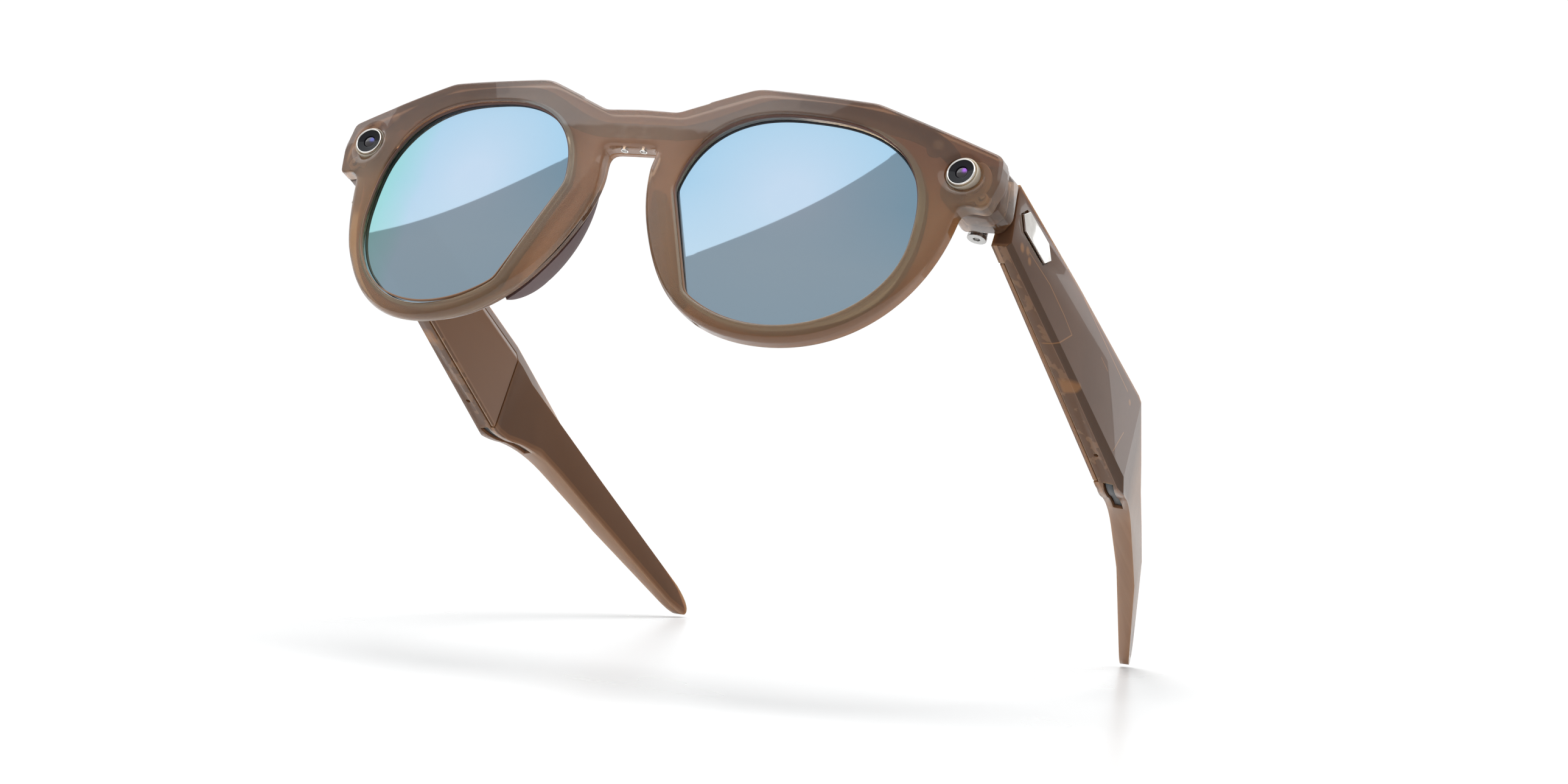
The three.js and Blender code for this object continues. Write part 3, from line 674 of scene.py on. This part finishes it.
def front_plastic(name):
    """Dark brow, milky bridge and lighter amber rims, with a painted grey reflection at the inner
    ends of the brow.
    """
    material, net, shader = opened(plastic(
        name, (0.25, 0.125, 0.068), (0.32, 0.165, 0.09), 0.8, (0.2, 0.26), 0.2, 0, 1))
    x, _, z = net.axes()
    aside = net.math("ABSOLUTE", x)
    eyelet = net.streaks(aside, z, EYELET_SHOWING)
    traces = net.minus(net.streaks(aside, z, FLEX_SHOWING), eyelet)
    net.paint(shader, (
        (net.fade(z, -2, -14, 0, 0.9), (0.45, 0.26, 0.125)),  # below the brow
        (net.times(net.fade(aside, 42, 26, 0, 0.55), net.fade(z, -4.4, -3.4)),
         (0.52, 0.42, 0.36)),  # inner end of the brow: painted reflection, a grey sheen standing for the studio seen in the coat
        (net.times(net.fade(aside, 20, 12, 0, 0.7), net.fade(z, -8, -14)),
         (0.56, 0.345, 0.2)),  # beside the nose
        (net.times(traces, 0.45), (0.17, 0.085, 0.05)),
        (net.times(eyelet, 0.55), (0.46, 0.26, 0.14)),
        (net.times(net.fade(z, -2.4, -3.2, 0.35, 1), net.fade(aside, 15, 9, 0, 0.9)),
         (0.48, 0.315, 0.215)),  # bridge
        (net.times(net.streaks(aside, z, CONTACTS_SHOWING), 0.3), (0.62, 0.46, 0.36))))
    return material


def seat_plastic(name):
    """Dark under the brow, the colour of the rims below."""
    material, net, shader = opened(plastic(
        name, (0.15, 0.088, 0.072), (0.18, 0.105, 0.088), 0, (0.4, 0.5)))
    net.paint(shader, ((net.fade(net.axes()[2], -12, -32, 0, 0.9), (0.24, 0.14, 0.085)),))
    fill(shader, {"Specular IOR Level": 0.15})
    return material


TEMPLE_LOOK = temple_plastic("temple plastic")
FRONT_LOOK = front_plastic("front plastic")
SEAT = seat_plastic("lens seat")
REAR_BROWN = plastic("rear plastic", (0.36, 0.19, 0.10), (0.42, 0.23, 0.13), 0.85, (0.2, 0.26),
                     0.2, 0, 1)
CLEAR_BROWN = plastic("clear brown", (0.31, 0.18, 0.105), (0.38, 0.225, 0.135), 0.85,
                      (0.08, 0.14), 0.2, 0, 0.8)
DARK_FILM = plastic("dark film", (0.03, 0.018, 0.012), (0.045, 0.028, 0.018), 0, (0.3, 0.45))
RUBBER = plastic("pad rubber", (0.085, 0.05, 0.052), (0.11, 0.066, 0.066), 0, (0.5, 0.6), 0.1,
                 0.15)
BLACK_GLASS = plastic("black glass", (0.004, 0.004, 0.006), (0.006, 0.006, 0.009), 0,
                      (0.02, 0.03))
fill(BLACK_GLASS.node_tree.nodes["Principled BSDF"], {"Specular IOR Level": 0.25})
BLACK = plastic("black plastic", (0.012, 0.012, 0.012), (0.02, 0.02, 0.02), 0, (0.35, 0.5), 0, 0.2)
PALE = plastic("pale plastic", (0.52, 0.42, 0.33), (0.6, 0.5, 0.4), 0.2, (0.3, 0.4), 0.4)
AMBER = plastic("amber film", (0.36, 0.12, 0.02), (0.5, 0.18, 0.04), 0.3, (0.2, 0.3))
GREEN = plastic("board green", (0.01, 0.035, 0.02), (0.018, 0.055, 0.03), 0, (0.3, 0.45), 0, 0.2)
CHROME = metal("polished steel", (0.75, 0.73, 0.70), (0.85, 0.83, 0.80), (0.06, 0.12))
STEEL = metal("brushed steel", (0.42, 0.41, 0.40), (0.55, 0.54, 0.52), (0.25, 0.4), (1, 12, 1))
GREY = metal("cell foil", (0.10, 0.10, 0.11), (0.16, 0.16, 0.17), (0.3, 0.45))
GRILLE = metal("grille mesh", (0.03, 0.035, 0.038), (0.07, 0.075, 0.08), (0.35, 0.5))
# each lens gets a painted glint: purple on the camera, blue on the indicator
GLINT_LENS = {1: lens_with_painted_glint("camera lens painted glint left", 1, (0.25, 0.01, 0.55)),
        -1: lens_with_painted_glint("camera lens painted glint right", -1, (0.02, 0.03, 0.35))}
LENS_LOOK = {side: mirror_lens("mirror lens " + word, side) for side, word in SIDES}

# ---- Front shell ---------------------------------------------------------------------------------
def ease(value, low, high):
    t = np.clip((value - low) / (high - low), 0, 1)
    return t * t * (3 - 2 * t)


def roll(distance, radius):
    """Depth lost by an edge rounded with this radius."""
    near = np.minimum(np.maximum(radius - distance, 0), radius)
    return radius - np.sqrt(np.maximum(radius * radius - near * near, 0))


def bend(x):
    return FACE_BEND * x * x


def lean(x):
    """How much the face leans, so that the studio's edge shows across the bridge and corners."""
    right_brow = 0.014 * ease(-x, 30, 46) * (1 - ease(-x, 60, 63))
    return np.where(x < 30, -0.012 + 0.00042 * np.maximum(x, -52) - right_brow, 0.0006)


def beyond_crease(x, z):
    """How far a point lies on the nose side of the crease beside either lens."""
    along = (NASAL_CREASE[1] - NASAL_CREASE[0]).normalized()
    return ((np.abs(x) - NASAL_CREASE[0].x) * along.y - (z - NASAL_CREASE[0].y) * along.x)


def front_face(x, z, out, opening):
    brow = ease(z, -6, -1)
    chamfer = np.maximum(0.5 - out, 0) * 0.9 + roll(out, 0.18)
    soft = 1.5 - 1.15 * ease(np.abs(x), 65, 68)
    edge = brow * chamfer + (1 - brow) * np.where(np.abs(x) > 65, roll(out, soft), roll(out, 1.5))
    at = np.c_[x, z]
    lip = roll(np.minimum(distance_to(at, OPENING[1]), distance_to(at, OPENING[-1])), 0.4)
    well = np.maximum(0.8 - opening, 0) * 0.55 * (np.abs(x) > 61)
    nasal = np.clip(beyond_crease(x, z), 0, 9) * 0.42 * ease(-z, 9, 15)
    return bend(x) + edge + lip + well + nasal + lean(x) * (z + 4.4)


def front_back(x, z, out, opening):
    return bend(x) + FRONT_THICK - roll(np.minimum(out, opening), 0.15)


OPENING = {side: rounded(lens_outline(0, side), 0.6, 3) for side in (1, -1)}
OUTLINE = rounded(front_outline(), 0.55, 3)
# The outline grows a little, because the rolled edges take that back.
grown = np.where((np.abs(OUTLINE[:, :1]) < 14) & (OUTLINE[:, 1:] > -9), 0.08, 0.25)
OUTLINE = OUTLINE - inward(OUTLINE) * grown * math.copysign(1, area(OUTLINE))
crease_line = np.array([tuple(NASAL_CREASE[0].lerp(NASAL_CREASE[1], i / 60)) for i in range(61)])
along = crease_line[1] - crease_line[0]
aside = np.array([along[1], -along[0]]) / np.linalg.norm(along)
creases = [line * (side, 1) for side in (1, -1)
           for line in (crease_line, crease_line + aside * 0.2, crease_line - aside * 0.2)]
EDGE_RINGS = (0.02, 0.06, 0.12, 0.2, 0.34, 0.49, 0.53, 0.75, 1.1, 1.5, 2.1)
wells = [circle(side * MODULE.x, MODULE.y, WELL_R) for side in (1, -1)]
front = plate("front_shell_visual", OUTLINE, [OPENING[1], OPENING[-1], *wells],
              front_face, front_back, EDGE_RINGS, 1.3, creases)
piece(front, "front", "frame_plastic", FRONT_LOOK, "front_shell")

# ---- Dark seat that holds each lens in its opening -----------------------------------------------
for side, word in SIDES:
    seat = plate(f"lens_seat_{word}", rounded(lens_outline(-0.03, side), 0.6, 3),
                 [rounded(lens_outline(-0.22, side), 0.6, 3)],
                 lambda x, z, out, opening: bend(x) + 0.62,
                 lambda x, z, out, opening: bend(x) + 1.25,
                 (0.05, 0.09), 3)
    piece(seat, "front", "pad_rubber", SEAT)

# ---- Rear shell ----------------------------------------------------------------------------------
rear_outline = rounded(front_outline(REAR_TRIM), 0.7, 3)
rear_opening = [rounded(lens_outline(-0.2, side), 0.7, 3) for side in (1, -1)]
rear = plate("rear_shell_visual", rear_outline, rear_opening,
             lambda x, z, out, opening: bend(x) + FRONT_THICK + 0.05 + 0.25 * ease(z, -11, -7)
             + roll(np.minimum(out, opening), 0.12),
             lambda x, z, out, opening: bend(x) + REAR_START + REAR_THICK
             - roll(np.minimum(out, opening), 0.3),
             (0.04, 0.12, 0.3, 0.8), 2.5)
piece(rear, "front", "rear_plastic", REAR_BROWN, "rear_shell")

# ---- End pieces behind the front corners ---------------------------------------------------------
def block_section(y, inset=0.0):
    """The end piece cut across at a depth, in X and Z."""
    flank = lambda z: min(71.7 + 0.07 * (y - 11) + 0.12 * (-0.6 - z),
                          72.3 + 0.14 * (-0.6 - z)) - inset
    top, low = BLOCK_TOP - 0.4 - inset, BLOCK_LOW - 0.4 + inset
    return [(BLOCK_IN + inset, y, top), (flank(top), y, top), (flank(-9.0), y, -9.0),
            (flank(-9.0) - 1.6, y, low), (BLOCK_IN + 2.2 + inset, y, low),
            (BLOCK_IN + inset, y, low + 2.4)]


def face_back(x):
    return bend(x) + FRONT_THICK + 0.03


def end_block(side, word):
    bm = bmesh.new()
    lofted(bm, [[(x, face_back(x), z) for x, _, z in block_section(12.2)],
                block_section(BLOCK_BACK)])
    bmesh.ops.recalc_face_normals(bm, faces=bm.faces)
    along = [e for e in bm.edges if abs(e.verts[0].co.y - e.verts[1].co.y) > 2]
    bmesh.ops.bevel(bm, geom=along, offset=0.9, segments=6, profile=0.5, affect="EDGES",
                    clamp_overlap=True)
    solid = finished(f"end_block_{word}", flipped(softened(bm, 0.12, 3, 60), side), 30)
    hollow = bmesh.new()
    lofted(hollow, [block_section(14.2, 1.1), block_section(BLOCK_BACK - 1.3, 1.1)])
    softened(hollow, 0.5, 3)
    tools = [finished("Hollow", flipped(hollow, side))]
    for low, high in ((-10.2, -8.8), (-3.7, -0.8)):
        tools.append(finished("Slot", flipped(block((64.5, 18, low), (67.1, 22, high)), side)))
    tools.append(finished("Door", flipped(block((60, 14.4, -8.6), (63.5, 18.8, -1.6)), side)))
    combined(solid, tools, "DIFFERENCE")
    solid.data.shade_smooth()
    solid.data.set_sharp_from_angle(angle=math.radians(30))
    return solid


for side, word in SIDES:
    piece(end_block(side, word), "front", "frame_plastic", CLEAR_BROWN, "front_shell")


# ---- Flexible circuit between the two shells -----------------------------------------------------
def ribbon(line, half_width, depth, thick):
    """A strip along a line in X and Z that follows the bend of the front."""
    line = np.array(line, float)
    turns = np.gradient(line, axis=0)
    turns /= np.linalg.norm(turns, axis=1)[:, None]
    across = np.c_[-turns[:, 1], turns[:, 0]]
    bm = bmesh.new()
    sections = []
    for p, n, half in zip(line, across, half_width):
        a, b = p + n * half, p - n * half
        sections.append([(a[0], bend(a[0]) + depth, a[1]), (b[0], bend(b[0]) + depth, b[1]),
                         (b[0], bend(b[0]) + depth + thick, b[1]),
                         (a[0], bend(a[0]) + depth + thick, a[1])])
    lofted(bm, sections)
    return bm


EYELET_X = 58.6


def flex_half():
    pen = Pen(63.2, -2.2).curve((61, 0.5), (58, 1.8), (54, 2.9), 12)
    pen.curve((48, 4.2), (38, 4.4), (28, 3.9), 16).curve((22, 3.4), (16, -2.6), (8, -3.4), 16)
    pen.line(3.9, -3.4).line(0, -3.4)
    return pen.points


for side, word in SIDES:
    path = flex_half()
    widths = [1.5 + 0.7 * math.sin(math.pi * i / (len(path) - 1)) for i in range(len(path))]
    bm = flipped(ribbon(path, widths, FRONT_THICK + 0.06, 0.12), side)
    strip = finished(f"front_flex_{word}", bm)
    piece(strip, "front", "flex_film", DARK_FILM, "front_flex")
    ring = lathe(f"flex_eyelet_{word}", [(0.75, 0), (1.75, 0), (1.75, 0.1), (0.75, 0.1)], (0, 0))
    at = Vector((side * EYELET_X, bend(EYELET_X) + FRONT_THICK + 0.08, 0.0))
    ring.data.transform(STANCE @ Matrix.Translation(at) @ Matrix.Rotation(
        side * math.atan(2 * FACE_BEND * EYELET_X), 4, "Z") @ STANCE.inverted())
    piece(ring, "front", "flex_film", DARK_FILM)


# ---- Camera and indicator light ------------------------------------------------------------------
LUG = (69.6, -8.6)  # ear of the holder that its screw goes through


def module_look(side, name):
    centre = (side * MODULE.x, MODULE.y)
    ring = lathe(f"{name}_bezel_visual", [
        (2.50, 8.98), (2.54, 8.84), (2.62, 8.76), (2.72, 8.76), (2.80, 8.84), (2.84, 8.98),
        (2.84, 10.6), (2.66, 10.7), (2.66, 9.5), (2.50, 9.45)], centre, sharp=60)
    piece(ring, "front", "chrome", CHROME, f"{name}_bezel")
    glass = lathe(f"{name}_glass_visual", [
        (0, 9.45), (1.2, 9.45), (1.22, 9.28), (1.27, 9.18), (1.36, 9.14), (1.5, 9.12), (2.45, 9.02),
        (2.46, 9.6), (0, 9.6)], centre, sharp=25)
    piece(glass, "front", "cover_glass", BLACK_GLASS, f"{name}_cover_glass")
    dome = lathe(f"{name}_lens_visual", [
        (0, 9.05), (0.3, 9.06), (0.6, 9.1), (0.85, 9.16), (1.05, 9.24), (1.18, 9.35), (1.18, 9.44),
        (0, 9.44)], centre, sharp=70)
    piece(dome, "front", "cover_glass", GLINT_LENS[side])
    collar = lathe(f"{name}_collar", [
        (2.9, 9.5), (2.94, 9.36), (3.04, 9.3), (3.16, 9.32), (3.24, 9.42), (3.26, 9.6),
        (3.26, 11.6), (2.9, 11.6)], centre)
    piece(collar, "front", "pale_plastic", PALE)
    holder = lathe(f"{name}_holder_visual", [
        (3.0, 12.95), (3.2, 12.85), (4.4, 12.85), (4.55, 13.0), (4.55, 13.5), (4.1, 13.6),
        (4.1, 13.3), (3.0, 13.3)], centre)
    lug = lathe("Lug", [(0, 12.86), (1.25, 12.86), (1.35, 12.96), (1.35, 13.48), (0, 13.48)],
                (side * LUG[0], LUG[1]), 48)
    hole = lathe("Hole", [(0, 12), (0.62, 12), (0.62, 14), (0, 14)], (side * LUG[0], LUG[1]), 48)
    spare = finished("Spare", flipped(block((50, 12, -12), (62.9, 15, 2)), side))
    combined(holder, [lug], "UNION")
    combined(holder, [hole, spare], "DIFFERENCE")
    holder.data.set_sharp_from_angle(angle=math.radians(38))
    piece(holder, "front", "pale_plastic", PALE, f"{name}_holder")


for side, name in ((1, "camera"), (-1, "indicator")):
    module_look(side, name)

# ---- Contacts under the bridge -------------------------------------------------------------------
for side, word in SIDES:
    low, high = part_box(f"bridge_contact_{word}")
    middle = STANCE.inverted() @ ((low + high) / 2)
    port = lathe(f"bridge_contact_{word}_visual", [
        (0, 0.12), (0.5, 0.12), (0.56, -0.02), (0.7, -0.04), (0.78, 0.04), (0.78, 0.9), (0, 0.9)],
        (0, 0), 48)
    port.data.transform(STANCE @ Matrix.Translation((middle.x, middle.y, -8.2))
                        @ Matrix.Rotation(math.radians(90), 4, "X") @ STANCE.inverted())
    piece(port, "front", "chrome", CHROME, f"bridge_contact_{word}")

# ---- Nose pads -----------------------------------------------------------------------------------
PAD_STEPS = 50
PAD_DEEP = 5.6


def pad_section(t):
    """A closed line across the pad at a share of its length."""
    nose = Pen(6.4, -15.2).curve((6.3, -22), (9.4, -28.5), (13.6, -34), 30)
    nose = nose.bow((16, -37.4), (19.3, -39.9), PAD_STEPS - 30).points
    lens = Pen(8.9, -16.0).curve((11.6, -26.5), (15.9, -34.2), (20.2, -38.8), PAD_STEPS).points
    at = int(t * PAD_STEPS)
    a, b = nose[at], lens[at]
    bulge = max(math.sin(math.pi * t) ** 0.62, 0.05)
    base = REAR_START + REAR_THICK + 0.12
    rear = PAD_DEEP * bulge
    points = []
    for i in range(25):
        angle = math.pi * i / 24
        share = 0.5 - 0.5 * math.copysign(abs(math.cos(angle)) ** 0.6, math.cos(angle))
        back = rear * math.sin(angle) ** 0.75
        lift = 0.25 * back
        p = a.lerp(b, share)
        points.append((p.x + lift, bend(p.x) + base + back, p.y))
    for i in range(1, 6):
        p = b.lerp(a, i / 6)
        points.append((p.x, bend(p.x) + base, p.y))
    return points


for side, word in SIDES:
    bm = bmesh.new()
    lofted(bm, [pad_section(i / PAD_STEPS) for i in range(PAD_STEPS + 1)])
    pad = finished(f"nose_pad_{word}_visual", flipped(bm, side), 50)
    piece(pad, "front", "pad_rubber", RUBBER, f"nose_pad_{word}")

# ---- Lenses --------------------------------------------------------------------------------------
LENS_TIP = {1: 0.013, -1: -0.013}  # how much each lens leans, as its reflection shows
for side, word in SIDES:
    rim = rounded(lens_outline(LENS_GROOVE, side), 0.7, 1)
    lens = plate(f"lens_{word}_visual", rim, [],
                 lambda x, z, out, opening: bend(x) + LENS_START + LENS_TIP[side] * (z - LENS_Z)
                 + np.maximum(1.7 - out, 0) * 0.05 * ease(side * LENS_X - x, 10, 16),
                 lambda x, z, out, opening: bend(x) + LENS_START + LENS_THICK
                 + LENS_TIP[side] * (z - LENS_Z),
                 (0.3, 0.7, 1.3, 1.68, 1.72), 1.2, rim=0.3)
    piece(lens, "front", "mirror_lens", LENS_LOOK[side], f"lens_{word}")

# ---- Carried-over pieces get their finish --------------------------------------------------------
LOOK_OF = (
    ("temple_shell", TEMPLE_LOOK), ("temple_cover", TEMPLE_LOOK), ("barrel", BLACK),
    ("_board", GREEN), ("_screw", STEEL), ("end_cover", REAR_BROWN), ("hinge", STEEL),
    ("badge", CHROME), ("grille", GRILLE), ("speaker", BLACK),
    ("microphone", CHROME), ("battery", GREY), ("flex", AMBER), ("touch_strip", AMBER),
    ("capture_button", TEMPLE_LOOK), ("button_switch", CHROME), ("slider", BLACK),
)
for name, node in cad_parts.items():
    if node.hide_render:  # another piece stands for it
        continue
    node.data.materials.clear()
    node.data.materials.append(next(look for word, look in LOOK_OF if word in name))
    weld = node.modifiers.new("Weld", "WELD")
    weld.merge_threshold = 1e-6
    flat = node.modifiers.new("Flat", "DECIMATE")
    flat.decimate_type = "DISSOLVE"
    flat.angle_limit = math.radians(1)
    bevel = node.modifiers.new("Edges", "BEVEL")
    bevel.width = 0.3 * MM if "temple_shell" in name or "cover" in name else 0.12 * MM
    bevel.segments = 3
    bevel.limit_method = "ANGLE"
    bevel.angle_limit = math.radians(14)
    bevel.harden_normals = True
    node.data.shade_smooth()

# ---- Light, floor and camera ---------------------------------------------------------------------
EDGE = (0.332, 0.6615, 0.4542, 0.2382, 0.4755)  # height of the bright part ahead, by powers of X
EDGE_REACH = 0.02  # beyond this X the edge stays level
SIDE_WALL = (-0.9256, 0.0963, 0.3665)  # behind, the studio is bright on this side of a plane
BRIGHT, DIM, DEEP = 1.75, 0.78, 0.58
BACKDROP = 1.05  # what the camera sees past the object
FLOOR_UP = Vector((0, -0.471, 0.882)).normalized()
TIP_FOOT = Vector((0, 159.6, -38.9))  # where the temple tips touch the floor
FLOOR_CELL, FLOOR_COLUMNS, FLOOR_ROWS = 12, 80, 60
FLOOR_START = -700
LAMP_AT = Vector((0, 60, -80)) + FLOOR_UP * 650
EYE = Vector((405.28, -595.1, -342.1))  # where the camera stands, in the part's frame
FOCAL = 95.43
CAMERA_AXES = (  # right, up and back
    (0.877, 0.392, 0.278), (-0.072, -0.465, 0.882), (0.475, -0.794, -0.380))


def make_world():
    """Bright above a curved edge ahead and on one side behind, dim elsewhere, plain to the eye."""
    world = bpy.data.worlds.new("studio")
    world.use_nodes = True
    bpy.context.scene.world = world
    net = Net(world.node_tree)
    ray = net.upright(net.nodes.new("ShaderNodeTexCoord").outputs["Generated"])
    x, y, z = net.split(ray)
    reach = net.math("MINIMUM", x, EDGE_REACH)
    rise = EDGE[0]
    for step in EDGE[1:]:
        rise = net.math("MULTIPLY_ADD", reach, rise, step)
    ahead = net.fade(net.minus(z, rise), 0, 0.0003)
    beside = net.times(net.fade(net.vector("DOT_PRODUCT", ray, SIDE_WALL), 0, 0.0015),
                       net.fade(x, -0.14, 0.28))
    lit = net.mixed(net.fade(y, 0.2, 0.3), ahead, beside)
    shown = net.nodes["Background"]
    net.feed(shown.inputs["Color"], net.tinted((1.0, 0.99, 0.98), lit, (0.96, 0.985, 1.0)))
    net.feed(shown.inputs["Strength"],
             net.mixed(lit, net.fade(z, -0.2, 0.42, DEEP, DIM), BRIGHT))
    plain = net.nodes.new("ShaderNodeBackground")
    fill(plain, {"Color": (1, 1, 1, 1), "Strength": BACKDROP})
    pick = net.nodes.new("ShaderNodeMixShader")
    rays = net.nodes.new("ShaderNodeLightPath")
    for output, socket in ((rays.outputs["Is Camera Ray"], pick.inputs["Fac"]),
                           (shown.outputs["Background"], pick.inputs[1]),
                           (plain.outputs["Background"], pick.inputs[2]),
                           (pick.outputs["Shader"], net.nodes["World Output"].inputs["Surface"])):
        net.links.new(output, socket)


def make_camera():
    camera = bpy.data.objects.new("camera", bpy.data.cameras.new("camera"))
    bpy.context.scene.collection.objects.link(camera)
    camera.data.sensor_width = 36
    camera.data.lens = FOCAL
    camera.data.clip_start = 0.01
    camera.data.clip_end = 50
    turn = Matrix(CAMERA_AXES).transposed().to_4x4()
    camera.matrix_world = Matrix.Translation(STANCE @ EYE) @ TILT @ turn
    bpy.context.scene.camera = camera


def floor_sheet(name, drop):
    """A sheet that the two temple tips touch, or that much below, cut off just behind them."""
    back = (Vector((0, 1, 0)) - FLOOR_UP * FLOOR_UP.y).normalized()
    side = back.cross(FLOOR_UP)
    foot = TIP_FOOT - FLOOR_UP * drop
    bm = bmesh.new()
    rows = [[bm.verts.new(foot + side * (i - FLOOR_COLUMNS // 2) * FLOOR_CELL
                          + back * (j * FLOOR_CELL + FLOOR_START))
             for i in range(FLOOR_COLUMNS + 1)] for j in range(FLOOR_ROWS + 1)]
    for a, b in zip(rows, rows[1:]):
        for i in range(FLOOR_COLUMNS):
            bm.faces.new((a[i], a[i + 1], b[i + 1], b[i]))
    sheet = finished(name, bm)
    return sheet


def make_floor():
    """A pale sheet, and a white one below it for the views from underneath."""
    material, net, shader = new_material("floor")
    grain = net.noise(20, 2)
    net.feed(shader.inputs["Base Color"],
             net.ramp(grain, [(0.3, (0.675, 0.675, 0.675)), (0.7, (0.69, 0.69, 0.69))]))
    net.feed(shader.inputs["Roughness"], net.fade(grain, 0, 1, 0.26, 0.3))
    fill(shader, {"Specular IOR Level": 0.3})
    floor_sheet("floor", 0).data.materials.append(material)
    material, net, shader = new_material("floor underside")
    fill(shader, {"Emission Color": (1, 1, 1, 1), "Emission Strength": 1.0})
    floor_sheet("floor_underside", 1).data.materials.append(material)


def make_lamp():
    """A soft lamp straight above the floor, for the shadow of the front."""
    lamp = bpy.data.objects.new("overhead", bpy.data.lights.new("overhead", "AREA"))
    bpy.context.scene.collection.objects.link(lamp)
    lamp.data.shape = "DISK"
    lamp.data.size = 0.3
    lamp.data.energy = 2.6
    lamp.visible_glossy = False
    turn = Vector((0, 0, 1)).rotation_difference(FLOOR_UP).to_matrix().to_4x4()
    lamp.matrix_world = Matrix.Translation(STANCE @ LAMP_AT) @ TILT @ turn


make_floor()
make_lamp()
make_world()
make_camera()
bpy.context.scene.view_settings.view_transform = "Standard"
bpy.context.scene.view_settings.look = "None"
